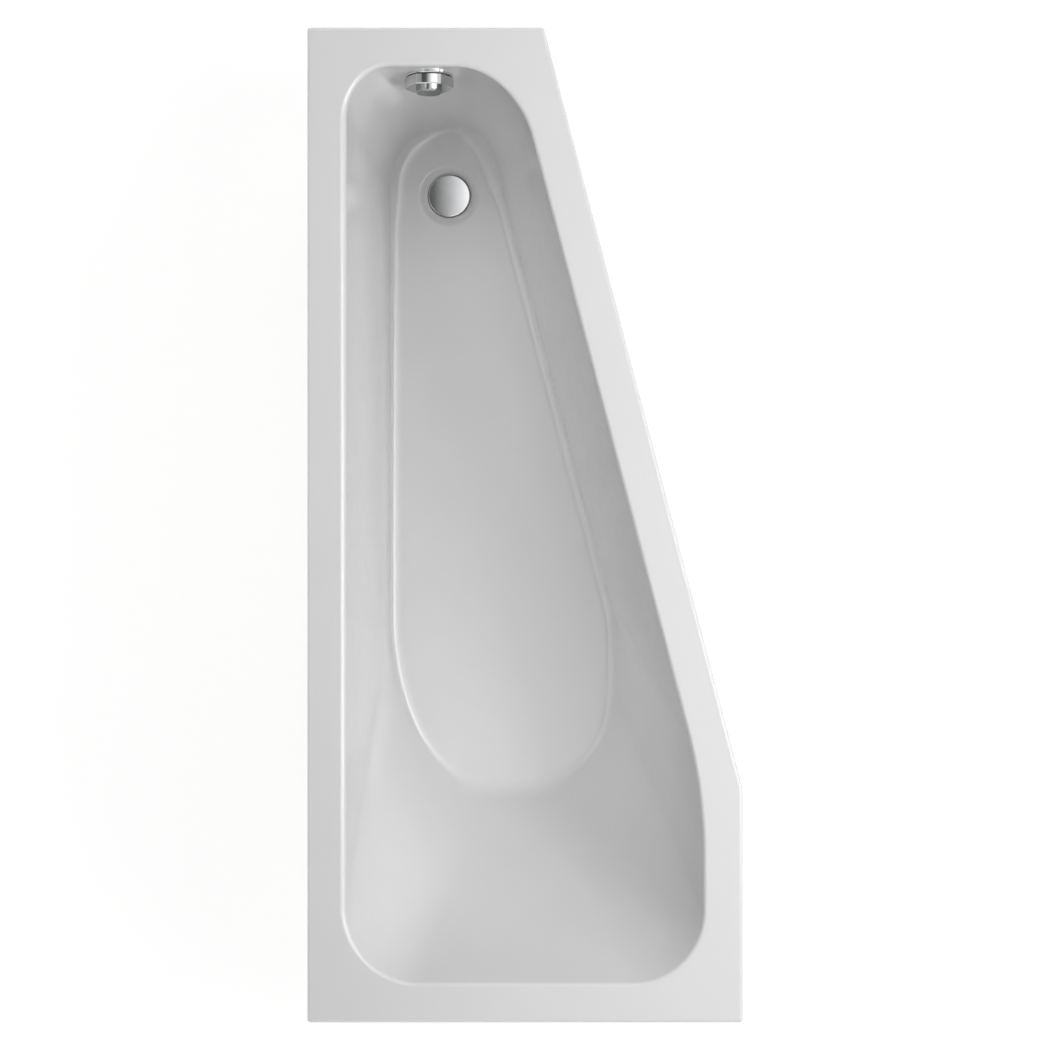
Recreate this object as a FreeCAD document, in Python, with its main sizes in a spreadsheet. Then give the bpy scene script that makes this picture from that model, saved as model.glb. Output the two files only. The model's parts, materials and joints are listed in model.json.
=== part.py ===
"""Space-saving acrylic bathtub with its laminate backing, foot frame, pop-up waste, rotary overflow and trap.

Millimetres, +Z up. The origin is on the floor under the middle of the rim's outer box. +Y points to the
narrow end, where the waste and the overflow are. -Y is the wide end with the backrest, and the long straight
side is at -X. The slanted side faces +X.
"""

import FreeCAD, Part
import math
import os
import re
import Sketcher

Vector = FreeCAD.Vector
X_AXIS = Vector(1, 0, 0)
Y_AXIS = Vector(0, 1, 0)
Z_AXIS = Vector(0, 0, 1)

# Shorter than this, two points or levels are the same
TOUCHING = 1e-4

# Forms of the gear teeth and of one rib of the hose
PRESSURE_ANGLE = math.radians(20)
FLANK_SHARES = (0, 0.25, 0.5, 0.75, 1)
RIB_SHARES = (0.1, 0.4, 0.6, 0.9)

doc = FreeCAD.newDocument("bathtub")
sheet = doc.addObject("Spreadsheet::Sheet", "Sizes")

# Driving dimensions, in millimetres except where the name says degrees, teeth, ribs or share
SIZES = (
    # rim and skirt, seen from above
    ("tub_length", "1600"),
    ("tub_width", "700"),
    ("narrow_end_width", "380"),
    ("wide_side_length", "375"),
    ("rim_height", "580"),
    ("rim_width", "62"),
    ("skirt_height", "40"),
    ("sheet_thickness", "5"),
    ("outer_corner_radius", "6"),
    ("outer_bend_radius", "20"),
    ("rim_edge_radius", "6"),
    ("rim_lip_radius", "12"),
    # basin opening at the rim
    ("head_corner_radius", "117"),
    ("opening_bend_radius", "800"),
    ("slant_corner_radius", "120"),
    ("left_corner_radius", "80"),
    # basin floor and the run of each wall from the rim down to it
    ("basin_depth", "420"),
    ("left_wall_run", "55"),
    ("backrest_run", "283"),
    ("right_wall_run", "135"),
    ("slant_wall_run", "61"),
    ("drain_wall_run", "46"),
    ("floor_head_left_radius", "205"),
    ("floor_head_right_radius", "161"),
    ("floor_bend_radius", "250"),
    ("floor_slant_radius", "61"),
    ("floor_left_radius", "108"),
    ("floor_edge_radius", "12"),
    ("corner_room_share", "0.95"),
    # glass fibre backing, floor board and rim battens
    ("bond_gap", "0.5"),
    ("laminate_thickness", "4"),
    ("laminate_clearance", "3"),
    ("board_thickness", "12"),
    ("board_inset", "30"),
    ("board_drain_gap", "100"),
    ("batten_width", "30"),
    ("batten_height", "25"),
    ("batten_skirt_gap", "2"),
    ("batten_end_gap", "150"),
    ("short_batten_end_gap", "75"),
    # foot frame
    ("drain_rail_from_end", "470"),
    ("head_rail_from_end", "500"),
    ("rail_width", "40"),
    ("rail_height", "30"),
    ("rail_wall", "2.5"),
    ("rail_overhang", "30"),
    ("leg_inset", "75"),
    ("slant_leg_inset", "88"),
    ("stud_radius", "6"),
    ("stud_reserve", "55"),
    ("stud_clearance", "0.05"),
    ("stud_hole_clearance", "0.5"),
    ("nut_corner_radius", "10.5"),
    ("nut_thickness", "10"),
    ("pad_radius", "30"),
    ("pad_neck_radius", "14"),
    ("pad_rim_height", "8"),
    ("pad_height", "24"),
    ("pad_socket_floor", "8"),
    ("pad_room_share", "0.9"),
    ("pad_foot_share", "0.5"),
    ("sole_radius", "28"),
    ("sole_thickness", "5"),
    ("screw_spacing", "100"),
    ("screw_radius", "2.25"),
    ("screw_head_radius", "5"),
    ("screw_head_height", "3"),
    ("screw_bite", "10"),
    ("screw_clearance", "0.3"),
    ("pilot_clearance", "0.05"),
    # waste, drawn from the basin floor downwards
    ("drain_from_left", "218"),
    ("drain_from_end", "227"),
    ("dish_radius", "54"),
    ("dish_floor_radius", "40"),
    ("dish_depth", "5"),
    ("waste_boss_radius", "60"),
    ("waste_hole_radius", "26"),
    ("hole_clearance", "0.5"),
    ("flange_radius", "34"),
    ("flange_thickness", "2"),
    ("flange_bore_radius", "21.5"),
    ("flange_seat_width", "2"),
    ("flange_seal_thickness", "1.5"),
    ("flange_seal_width", "6"),
    ("sleeve_depth", "11"),
    ("thread_clearance", "0.1"),
    ("gasket_thickness", "3"),
    ("gasket_radius", "37"),
    ("waste_flange_radius", "40"),
    ("waste_flange_thickness", "4"),
    ("waste_body_radius", "32"),
    ("waste_chamber_radius", "28"),
    ("waste_chamber_height", "37"),
    ("waste_body_wall", "4"),
    ("pipe_radius", "20"),
    ("pipe_wall", "3"),
    ("outlet_stub_length", "62"),
    ("hose_tail_radius", "13"),
    ("hose_tail_wall", "2"),
    ("hose_tail_length", "58"),
    ("plug_radius", "36.5"),
    ("plug_edge_thickness", "2.2"),
    ("plug_crown", "2.2"),
    ("plug_seal_thickness", "1.2"),
    ("plug_seal_width", "9"),
    ("plug_fin_thickness", "3"),
    ("plug_fin_height", "16"),
    ("plug_fin_clearance", "0.4"),
    ("plug_stem_radius", "4"),
    ("plug_stem_length", "46"),
    ("plunger_radius", "3.95"),
    ("plunger_clearance", "0.05"),
    ("plunger_length", "29"),
    ("plunger_guide_radius", "8"),
    ("plunger_guide_length", "14"),
    # overflow, drawn from the inner face of the narrow end wall
    ("overflow_from_left", "194"),
    ("overflow_depth", "62"),
    ("overflow_hole_radius", "26"),
    ("rosette_radius", "39"),
    ("rosette_thickness", "4"),
    ("rosette_chamfer", "1.5"),
    ("rosette_bore_radius", "22"),
    ("overflow_flange_radius", "38"),
    ("overflow_flange_thickness", "4"),
    ("overflow_body_radius", "32"),
    ("overflow_chamber_radius", "28.5"),
    ("overflow_chamber_depth", "26"),
    ("overflow_back_wall", "3"),
    ("spider_height", "8"),
    ("spider_ring_width", "3"),
    ("spider_arm_width", "5"),
    ("spider_boss_radius", "8"),
    ("spider_clearance", "0.1"),
    ("spindle_radius", "4"),
    ("spindle_clearance", "0.05"),
    ("bearing_height", "6"),
    ("bearing_gap", "1"),
    ("bearing_floor", "0.5"),
    ("knob_corner_radius", "40"),
    ("knob_height", "16"),
    ("knob_gap", "2"),
    ("knob_crown", "2.5"),
    ("knob_chamfer", "1.5"),
    ("knob_socket_depth", "9"),
    ("knob_cap_radius", "21.5"),
    ("knob_cap_height", "8"),
    ("knob_cap_chamfer", "2"),
    ("nozzle_offset", "14"),
    ("nozzle_length", "74"),
    ("gland_radius", "5"),
    ("gland_length", "42"),
    # rack drive of the control cable
    ("gear_module", "1"),
    ("pinion_teeth", "14"),
    ("pinion_width", "6"),
    ("rack_back", "6"),
    ("rack_above", "20"),
    ("rack_below", "12"),
    ("rack_side_clearance", "0.3"),
    ("gear_backlash", "0.3"),
    ("tooth_clearance_share", "0.25"),
    ("rack_tip_share", "0.75"),
    ("guide_thickness", "3"),
    ("guide_length", "30"),
    ("wire_radius", "1.2"),
    ("wire_reach", "28"),
    ("wire_lap", "14"),
    ("cable_radius", "3"),
    ("cable_bore_radius", "1.6"),
    ("cable_drop", "54"),
    ("cable_upper_bend", "60"),
    ("cable_lower_bend", "26"),
    ("ferrule_radius", "6.5"),
    ("ferrule_length", "16"),
    ("ferrule_clearance", "0.05"),
    # overflow hose
    ("hose_radius", "16"),
    ("hose_groove", "2"),
    ("hose_bore_radius", "13.1"),
    ("hose_bend_radius", "70"),
    ("hose_lead", "10"),
    ("hose_lap", "22"),
    ("hose_rib_pitch", "8"),
    ("clip_width", "10"),
    ("clip_thickness", "1.5"),
    ("clip_from_end", "6"),
    ("clip_clearance", "0.05"),
    # trap
    ("washer_thickness", "2"),
    ("slip_nut_radius", "27"),
    ("slip_nut_length", "22"),
    ("slip_clearance", "0.15"),
    ("trap_lead", "12"),
    ("trap_bend_radius", "30"),
    ("trap_drop", "26"),
    ("trap_riser", "14"),
    ("arm_lead", "12"),
    ("arm_bend_radius", "26"),
    ("arm_edge_gap", "20"),
    # tools only
    ("overrun", "10"),
)
for row, (alias, number) in enumerate(SIZES, 1):
    sheet.set(f"A{row}", alias)
    sheet.set(f"B{row}", number)
    sheet.setAlias(f"B{row}", alias)
doc.recompute()
ALIASES = re.compile(r"\b(" + "|".join(alias for alias, _ in SIZES) + r")\b")


# Expressions

def cells(text):
    """The expression with every size name pointing at its cell."""
    return ALIASES.sub(r"Sizes.\1", text)


def value(text):
    """The number that an expression gives with the sheet's present sizes."""
    return float(sheet.evalExpression(cells(text)))


def bind(thing, name, text):
    """Ties a property of a document object to an expression in the sheet's sizes."""
    thing.setExpression(name, cells(text))


# Distances of the five sides from the middle, counter-clockwise: left, head, right, slanted, drain end
SLANT_RUN = "(tub_width - narrow_end_width)"
SLANT_RISE = "(tub_length - wide_side_length)"
SLANT_LENGTH = f"sqrt({SLANT_RUN} ^ 2 + {SLANT_RISE} ^ 2)"
SLANT_COS = f"({SLANT_RISE} / {SLANT_LENGTH})"
SLANT_SIN = f"({SLANT_RUN} / {SLANT_LENGTH})"
SLANT_SIDE = f"((narrow_end_width - tub_width / 2) * {SLANT_COS} + tub_length / 2 * {SLANT_SIN})"
OUTER_SIDES = ("tub_width / 2", "tub_length / 2", "tub_width / 2", SLANT_SIDE, "tub_length / 2")
OUTER_RADII = ("outer_corner_radius", "outer_corner_radius", "outer_bend_radius")
OUTER_RADII += ("outer_corner_radius", "outer_corner_radius")
OPENING_SIDES = tuple(f"{side} - rim_width" for side in OUTER_SIDES)
WALL_RUNS = ("left_wall_run", "backrest_run", "right_wall_run", "slant_wall_run", "drain_wall_run")
FLOOR_SIDES = tuple(f"{side} - {run}" for side, run in zip(OPENING_SIDES, WALL_RUNS))

# Corner radii, each as asked for unless the two corners of a side would meet
fits = doc.addObject("App::VarSet", "Fits")


def fitted(name, sides, radii):
    """The radii of an outline's corners, made smaller alike where a side is too short for both of its own."""
    left, head, right, slant, drain = [f"({side})" for side in sides]
    lengths = (
        f"({head} + {drain})",
        f"({left} + {right})",
        f"({head} + ({slant} - {right} * {SLANT_COS}) / {SLANT_SIN})",
        f"(({right} - {slant} * {SLANT_COS}) / {SLANT_SIN} + ({drain} - {slant} * {SLANT_SIN}) / {SLANT_COS})",
        f"({left} + ({slant} - {drain} * {SLANT_SIN}) / {SLANT_COS})",
    )
    reach = list(radii)
    reach[2] = f"{radii[2]} * {SLANT_SIN} / (1 + {SLANT_COS})"
    reach[3] = f"{radii[3]} * {SLANT_COS} / (1 + {SLANT_SIN})"
    room = [f"{length} * corner_room_share / ({reach[i - 1]} + {reach[i]})" for i, length in enumerate(lengths)]
    names = [f"{name}_corner_{i}" for i in range(len(radii))]
    for i, corner in enumerate(names):
        fits.addProperty("App::PropertyFloat", corner, "Corners", "Radius of a corner that fits its sides")
        bind(fits, corner, f"{radii[i]} * min(1; {room[i]}; {room[(i + 1) % len(room)]})")
    doc.recompute()
    return tuple(f"Fits.{corner}" for corner in names)


OPENING_RADII = ("head_corner_radius", "head_corner_radius", "opening_bend_radius")
OPENING_RADII += ("slant_corner_radius", "left_corner_radius")
OPENING_RADII = fitted("opening", OPENING_SIDES, OPENING_RADII)
FLOOR_RADII = ("floor_head_left_radius", "floor_head_right_radius", "floor_bend_radius")
FLOOR_RADII += ("floor_slant_radius", "floor_left_radius")
FLOOR_RADII = fitted("floor", FLOOR_SIDES, FLOOR_RADII)

# Levels, measured up from the floor that the tub stands on
BASIN_FLOOR = "(rim_height - basin_depth)"
RIM_UNDERSIDE = "(rim_height - sheet_thickness)"
LAMINATE_OUT = "(sheet_thickness + bond_gap + laminate_thickness)"
BOARD_TOP = f"({BASIN_FLOOR} - {LAMINATE_OUT})"
RAIL_TOP = f"({BOARD_TOP} - board_thickness)"

# The waste's axis, and the overflow's axis square to the sloping narrow end wall
DRAIN_X = "(drain_from_left - tub_width / 2)"
DRAIN_Y = "(tub_length / 2 - drain_from_end)"
WALL_LENGTH = "sqrt(basin_depth ^ 2 + drain_wall_run ^ 2)"
WALL_COS = f"(basin_depth / {WALL_LENGTH})"
WALL_SIN = f"(drain_wall_run / {WALL_LENGTH})"
OVERFLOW_X = "(overflow_from_left - tub_width / 2)"
OVERFLOW_Y = "(tub_length / 2 - rim_width - drain_wall_run * overflow_depth / basin_depth)"
OVERFLOW_Z = "(rim_height - overflow_depth)"
OVERFLOW_TILT = "(90 deg - atan(drain_wall_run / basin_depth))"


# Frames that sub-parts are placed in

def place(thing, x, y, z):
    """Ties an upright object's place to three expressions."""
    for name, text in zip("xyz", (x, y, z)):
        bind(thing, f"Placement.Base.{name}", text)


def at_origin(thing):
    """Leaves an object in the tub's own frame."""


def at_waste(thing):
    """Puts the object's origin where the waste's axis meets the basin floor."""
    place(thing, DRAIN_X, DRAIN_Y, BASIN_FLOOR)


def at_overflow(thing):
    """Puts the origin on the narrow end wall's inner face, Z into the basin and Y up along the wall."""
    thing.Placement = FreeCAD.Placement(Vector(), FreeCAD.Rotation(X_AXIS, value(OVERFLOW_TILT)))
    place(thing, OVERFLOW_X, OVERFLOW_Y, OVERFLOW_Z)
    bind(thing, "Placement.Rotation.Angle", OVERFLOW_TILT)


# Sketches

def new_sketch(body, role, offset="0"):
    """A sketch on one of the body's own origin planes, moved along the plane's normal."""
    sketch = body.newObject("Sketcher::SketchObject", "Sketch")
    plane = next(f for f in body.Origin.OriginFeatures if f.Role == role)
    sketch.AttachmentSupport = [(plane, "")]
    sketch.MapMode = "FlatFace"
    bind(sketch, "AttachmentOffset.Base.z", offset)
    return sketch


def dimension(sketch, text, kind, *where):
    """Adds a dimension to a sketch and ties it to an expression."""
    number = value(text)
    if kind == "Angle":
        number = math.radians(number)
    index = sketch.addConstraint(Sketcher.Constraint(kind, *where, number))
    bind(sketch, f"Constraints[{index}]", text)


def pin_point(sketch, geometry, point, x, y):
    """Ties a point of the sketch to its two coordinates."""
    for kind, text, axis in (("DistanceX", x, -2), ("DistanceY", y, -1)):
        if text == "0":
            sketch.addConstraint(Sketcher.Constraint("PointOnObject", geometry, point, axis))
        else:
            dimension(sketch, text, kind, -1, 1, geometry, point)


def dome(start, top):
    """An arc from a point up to the sketch's vertical axis, with its centre on that axis."""
    rise = top.y - start.y
    radius = (start.x ** 2 + rise ** 2) / (2 * rise)
    circle = Part.Circle(Vector(0, top.y - radius, 0), Z_AXIS, radius)
    return Part.ArcOfCircle(circle, math.atan2(start.y - top.y + radius, start.x), math.pi / 2)


def draw_polygon(sketch, corners, domes=()):
    """A closed outline through corners that are pairs of expressions, with the named sides drawn as domes."""
    first = sketch.GeometryCount
    points = [Vector(value(x), value(y), 0) for x, y in corners]
    for i, (start, end) in enumerate(zip(points, points[1:] + points[:1])):
        line = dome(start, end) if i in domes else Part.LineSegment(start, end)
        sketch.addGeometry(line, False)
    for i in domes:
        sketch.addConstraint(Sketcher.Constraint("PointOnObject", first + i, 3, -2))
    for i, (x, y) in enumerate(corners):
        following = first + (i + 1) % len(corners)
        sketch.addConstraint(Sketcher.Constraint("Coincident", first + i, 2, following, 1))
        pin_point(sketch, first + i, 1, x, y)


def draw_crowned(sketch, corners, side, crown):
    """A regular outline round the origin like a polygon's, each side an arc that bulges by the crown."""
    first = sketch.GeometryCount
    points = [Vector(value(x), value(y), 0) for x, y in corners]
    for start, end in zip(points, points[1:] + points[:1]):
        middle = (start + end) / 2
        top = middle + (start + end).normalize() * value(crown)
        sketch.addGeometry(Part.Arc(start, top, end), False)
    for i, (x, y) in enumerate(corners):
        following = first + (i + 1) % len(corners)
        sketch.addConstraint(Sketcher.Constraint("Coincident", first + i, 2, following, 1))
        pin_point(sketch, first + i, 1, x, y)
        dimension(sketch, f"(({side}) ^ 2 / 4 + {crown} ^ 2) / (2 * {crown})", "Radius", first + i)


def draw_circle(sketch, x, y, radius):
    """A circle with its centre and radius tied to expressions."""
    centre = Vector(value(x), value(y), 0)
    index = sketch.addGeometry(Part.Circle(centre, Z_AXIS, value(radius)), False)
    pin_point(sketch, index, 3, x, y)
    dimension(sketch, radius, "Radius", index)


def draw_outline(sketch, sides, radii):
    """The tub's five-sided outline with rounded corners, from its sides' distances and its corners' radii."""
    turn = math.atan2(value(SLANT_RUN), value(SLANT_RISE))
    facing = [math.pi, 1.5 * math.pi, 2 * math.pi, 2 * math.pi + turn, 2.5 * math.pi, 3 * math.pi]
    distances = [value(side) for side in sides]
    corners = []
    for i, radius in enumerate(value(text) for text in radii):
        a, b = facing[i], facing[i + 1]
        near, far = distances[i] - radius, distances[(i + 1) % len(sides)] - radius
        spread = math.sin(b - a)
        x = (near * math.sin(b) - far * math.sin(a)) / spread
        y = (far * math.cos(a) - near * math.cos(b)) / spread
        corners.append(Part.ArcOfCircle(Part.Circle(Vector(x, y, 0), Z_AXIS, radius), a, b))
    for i, corner in enumerate(corners):
        sketch.addGeometry(Part.LineSegment(corners[i - 1].EndPoint, corner.StartPoint), False)
        sketch.addGeometry(corner, False)
    count = 2 * len(corners)
    for i, radius in enumerate(radii):
        side, corner = 2 * i, 2 * i + 1
        sketch.addConstraint(Sketcher.Constraint("Tangent", side, 2, corner, 1))
        sketch.addConstraint(Sketcher.Constraint("Tangent", corner, 2, (corner + 1) % count, 1))
        dimension(sketch, radius, "Radius", corner)
    left, head, right, slant, drain = range(0, count, 2)
    for side in (left, right):
        sketch.addConstraint(Sketcher.Constraint("Vertical", side))
    for side in (head, drain):
        sketch.addConstraint(Sketcher.Constraint("Horizontal", side))
    dimension(sketch, f"90 deg + atan({SLANT_RUN} / {SLANT_RISE})", "Angle", slant)
    dimension(sketch, f"-({sides[0]})", "DistanceX", -1, 1, left, 1)
    dimension(sketch, f"-({sides[1]})", "DistanceY", -1, 1, head, 1)
    dimension(sketch, sides[2], "DistanceX", -1, 1, right, 1)
    dimension(sketch, sides[3], "Distance", -1, 1, slant)
    dimension(sketch, sides[4], "DistanceY", -1, 1, drain, 1)


# Features

def new_body(name, frame=at_origin):
    """An empty body in one of the frames."""
    body = doc.addObject("PartDesign::Body", name)
    frame(body)
    return body


def add_pad(body, sketch, length, reverse=False):
    """Pads a sketch along its normal, or against it."""
    pad = body.newObject("PartDesign::Pad", "Pad")
    pad.Profile = sketch
    pad.Reversed = reverse
    bind(pad, "Length", length)
    return pad


def add_pocket(body, sketch, length, reverse=False):
    """Cuts a sketch into the body against its normal, or along it."""
    pocket = body.newObject("PartDesign::Pocket", "Pocket")
    pocket.Profile = sketch
    pocket.Reversed = reverse
    bind(pocket, "Length", length)
    return pocket


def add_edge_feature(body, kind, size_name, size, base, choose):
    """Rounds or chamfers the edges of a feature that the chooser picks."""
    doc.recompute()
    edges = [f"Edge{i}" for i, edge in enumerate(base.Shape.Edges, 1) if choose(edge.BoundBox)]
    feature = body.newObject(f"PartDesign::{kind}", kind)
    feature.Base = (base, edges)
    bind(feature, size_name, size)
    return feature


def at_level(height):
    """Picks the edges that lie wholly at one height."""
    level = value(height)
    return lambda edge_box: max(abs(edge_box.ZMin - level), abs(edge_box.ZMax - level)) < TOUCHING


def turned(name, corners, frame=at_origin, domes=()):
    """A body turned about its Z axis from a profile of (radius, height) expressions."""
    body = new_body(name, frame)
    sketch = new_sketch(body, "XZ_Plane")
    draw_polygon(sketch, corners, domes)
    turn = body.newObject("PartDesign::Revolution", "Revolution")
    turn.Profile = sketch
    turn.ReferenceAxis = (sketch, ["V_Axis"])
    return body


def ring(name, inner, outer, bottom, top, frame=at_origin):
    """A plain ring about the frame's Z axis."""
    corners = ((inner, bottom), (outer, bottom), (outer, top), (inner, top))
    return turned(name, corners, frame)


def disc(name, radius, bottom, top, frame=at_origin):
    """A plain round solid about the frame's Z axis."""
    return turned(name, (("0", bottom), (radius, bottom), (radius, top), ("0", top)), frame)


def box(name, sizes, corner):
    """A box from its three sizes and its lowest corner, all expressions."""
    block = doc.addObject("Part::Box", name)
    for side, text in zip(("Length", "Width", "Height"), sizes):
        bind(block, side, text)
    place(block, *corner)
    return block


def joined(name, solids):
    """Several overlapping solids as one."""
    fuse = doc.addObject("Part::MultiFuse", name)
    fuse.Shapes = solids
    return fuse


def cut(name, base, tools):
    """One solid less the others."""
    difference = doc.addObject("Part::Cut", name)
    difference.Base = base
    difference.Tool = tools[0] if len(tools) == 1 else joined(f"{name}_tools", tools)
    return difference


def group(name, solids):
    """Separate solids that share a node."""
    compound = doc.addObject("Part::Compound", name)
    compound.Links = solids
    return compound


def shaped(name, shape, frame=at_origin):
    """An object whose shape is worked out in code from the sheet's sizes."""
    feature = doc.addObject("Part::Feature", name)
    feature.Shape = shape
    frame(feature)
    return feature


SUB_PARTS = []


def keep(label, thing):
    """Names an object as one of the tub's sub-parts."""
    thing.Label = label
    SUB_PARTS.append(thing)
    return thing


# Tub shell

def basin(name, outset):
    """A solid of the basin's form with its walls and floor moved out from the finished inner face."""
    body = new_body(name)
    mouth = new_sketch(body, "XY_Plane", "rim_height")
    upper = [f"{side} + {outset}" for side in OPENING_SIDES]
    draw_outline(mouth, upper, [f"{radius} + {outset}" for radius in OPENING_RADII])
    bottom = f"{BASIN_FLOOR} - {outset}"
    floor = new_sketch(body, "XY_Plane", bottom)
    lower = [f"{side} + {outset} * (1 - {run} / basin_depth)" for side, run in zip(FLOOR_SIDES, WALL_RUNS)]
    draw_outline(floor, lower, [f"{radius} + {outset}" for radius in FLOOR_RADII])
    loft = body.newObject("PartDesign::AdditiveLoft", "Loft")
    loft.Profile = mouth
    loft.Sections = [floor]
    loft.Ruled = True
    add_edge_feature(body, "Fillet", "Radius", f"floor_edge_radius + {outset}", loft, at_level(bottom))
    return body


def rim_frame():
    """The flat rim with its turned-down skirt, hollow underneath."""
    body = new_body("rim_frame")
    plan = new_sketch(body, "XY_Plane", "rim_height")
    draw_outline(plan, OUTER_SIDES, OUTER_RADII)
    slab = add_pad(body, plan, "skirt_height", reverse=True)
    add_edge_feature(body, "Fillet", "Radius", "rim_edge_radius", slab, at_level("rim_height"))
    hollow = new_sketch(body, "XY_Plane", "rim_height - skirt_height")
    inner = [f"{side} - sheet_thickness" for side in OUTER_SIDES]
    radii = [f"max({radius} - sheet_thickness; {radius} / 6)" for radius in OUTER_RADII]
    draw_outline(hollow, inner, radii)
    add_pocket(body, hollow, "skirt_height - sheet_thickness", reverse=True)
    return body


def drain_cutter():
    """The shallow dish round the waste and the hole through its floor."""
    corners = (
        ("0", "overrun"),
        ("dish_radius", "overrun"),
        ("dish_radius", "0"),
        ("dish_floor_radius", "-dish_depth"),
        ("waste_hole_radius", "-dish_depth"),
        ("waste_hole_radius", "-dish_depth - sheet_thickness - overrun"),
        ("0", "-dish_depth - sheet_thickness - overrun"),
    )
    return turned("drain_cutter", corners, at_waste)


def tub_shell():
    """The acrylic sheet: rim, skirt and basin in one piece, with its waste and overflow holes."""
    boss_low = "-dish_depth - sheet_thickness"
    boss = disc("waste_boss", "waste_boss_radius", boss_low, "-sheet_thickness / 2", at_waste)
    hole = disc("overflow_hole", "overflow_hole_radius", "-sheet_thickness - overrun", "overrun", at_overflow)
    solid = joined("shell_solid", [rim_frame(), basin("basin_outside", "sheet_thickness"), boss])
    hollow = [basin("basin_inside", "0"), drain_cutter(), hole]
    sharp = cut("sharp_shell", solid, hollow)
    doc.recompute()
    body = doc.addObject("PartDesign::Body", "tub_shell")
    body.BaseFeature = sharp
    doc.recompute()
    level = at_level("rim_height")
    reach = value("tub_length / 2 - rim_width") + value("rim_width") / 4
    width = value("tub_width / 2 - rim_width") + value("rim_width") / 4

    def on_lip(edge_box):
        inside = max(-edge_box.YMin, edge_box.YMax) < reach and max(-edge_box.XMin, edge_box.XMax) < width
        return level(edge_box) and inside

    add_edge_feature(body, "Fillet", "Radius", "rim_lip_radius", body.Tip, on_lip)
    return keep("tub_shell", body)


def laminate_backing():
    """The glass fibre skin that stiffens the basin, cut away round the waste and the overflow."""
    outside = basin("laminate_outside", LAMINATE_OUT)
    inside = basin("laminate_inside", "(sheet_thickness + bond_gap)")
    trim_corner = ("-tub_width / 2", "-tub_length / 2", f"{RIM_UNDERSIDE} - bond_gap")
    trim = box("laminate_trim", ("tub_width", "tub_length", "skirt_height"), trim_corner)
    deep = f"-{LAMINATE_OUT} - overrun"
    waste_radius = "waste_boss_radius + laminate_clearance"
    waste = disc("laminate_waste_hole", waste_radius, deep, "0", at_waste)
    port_radius = "overflow_flange_radius + laminate_clearance"
    port = disc("laminate_overflow_hole", port_radius, deep, "0", at_overflow)
    keep("laminate_backing", cut("laminate", outside, [inside, trim, waste, port]))


# Floor board and rim battens

LEFT_LEG_X = "(leg_inset - tub_width / 2)"


def slant_leg_x(from_drain_end):
    """Where the leg beside the slanted side stands, this far from the narrow end."""
    edge = f"narrow_end_width - tub_width / 2 + {from_drain_end} * {SLANT_RUN} / {SLANT_RISE}"
    return f"(min(tub_width / 2; {edge}) - slant_leg_inset)"


# Each rail's name, its place along the tub and its right leg
RAILS = (
    ("drain", "(tub_length / 2 - drain_rail_from_end)", slant_leg_x("drain_rail_from_end")),
    ("head", "(head_rail_from_end - tub_length / 2)", slant_leg_x("(tub_length - head_rail_from_end)")),
)


def screw_places(right_leg):
    """The two screws of a rail, either side of its middle."""
    middle = f"({LEFT_LEG_X} + {right_leg}) / 2"
    return (f"({middle} - screw_spacing / 2)", f"({middle} + screw_spacing / 2)")


def base_board():
    """The board under the flat of the basin floor, short of the waste, with the screws' pilot holes."""
    body = new_body("base_board")
    plan = new_sketch(body, "XY_Plane", BOARD_TOP)
    sides = [f"{side} - board_inset" for side in FLOOR_SIDES[:-1]] + [f"{DRAIN_Y} - board_drain_gap"]
    draw_outline(plan, sides, [f"{radius} - board_inset" for radius in FLOOR_RADII])
    add_pad(body, plan, "board_thickness", reverse=True)
    holes = new_sketch(body, "XY_Plane", BOARD_TOP)
    for _, y, right_leg in RAILS:
        for x in screw_places(right_leg):
            draw_circle(holes, x, y, "screw_radius + pilot_clearance")
    add_pocket(body, holes, "board_thickness")
    keep("base_board", body)


def rim_battens():
    """Four battens bonded under the rim along the sides that need support."""
    low = f"{RIM_UNDERSIDE} - batten_height"
    skirt = "(sheet_thickness + batten_skirt_gap)"
    long_side = "(tub_length - 2 * batten_end_gap)"
    left_corner = (f"{skirt} - tub_width / 2", f"-{long_side} / 2", low)
    left = box("left_batten", ("batten_width", long_side, "batten_height"), left_corner)
    keep("left_rim_batten", left)
    head_side = "(tub_width - 2 * batten_end_gap)"
    head_corner = (f"-{head_side} / 2", f"{skirt} - tub_length / 2", low)
    head = box("head_batten", (head_side, "batten_width", "batten_height"), head_corner)
    keep("head_rim_batten", head)
    right_side = "(wide_side_length - 2 * short_batten_end_gap)"
    right_corner = (f"tub_width / 2 - {skirt} - batten_width", "short_batten_end_gap - tub_length / 2", low)
    right = box("right_batten", ("batten_width", right_side, "batten_height"), right_corner)
    keep("right_rim_batten", right)
    slant_side = f"({SLANT_LENGTH} - 2 * batten_end_gap)"
    out = f"({SLANT_SIDE} - {skirt} - batten_width)"
    along = f"((wide_side_length * {SLANT_COS} - narrow_end_width * {SLANT_SIN}) / 2 - {slant_side} / 2)"
    slant_corner = (
        f"{out} * {SLANT_COS} - {along} * {SLANT_SIN}",
        f"{out} * {SLANT_SIN} + {along} * {SLANT_COS}",
        low,
    )
    slant = box("slant_batten", ("batten_width", slant_side, "batten_height"), slant_corner)
    slant.Placement = FreeCAD.Placement(Vector(), FreeCAD.Rotation(Z_AXIS, 1))
    bind(slant, "Placement.Rotation.Angle", f"atan({SLANT_RUN} / {SLANT_RISE})")
    keep("slant_rim_batten", slant)


# Foot frame

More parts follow.
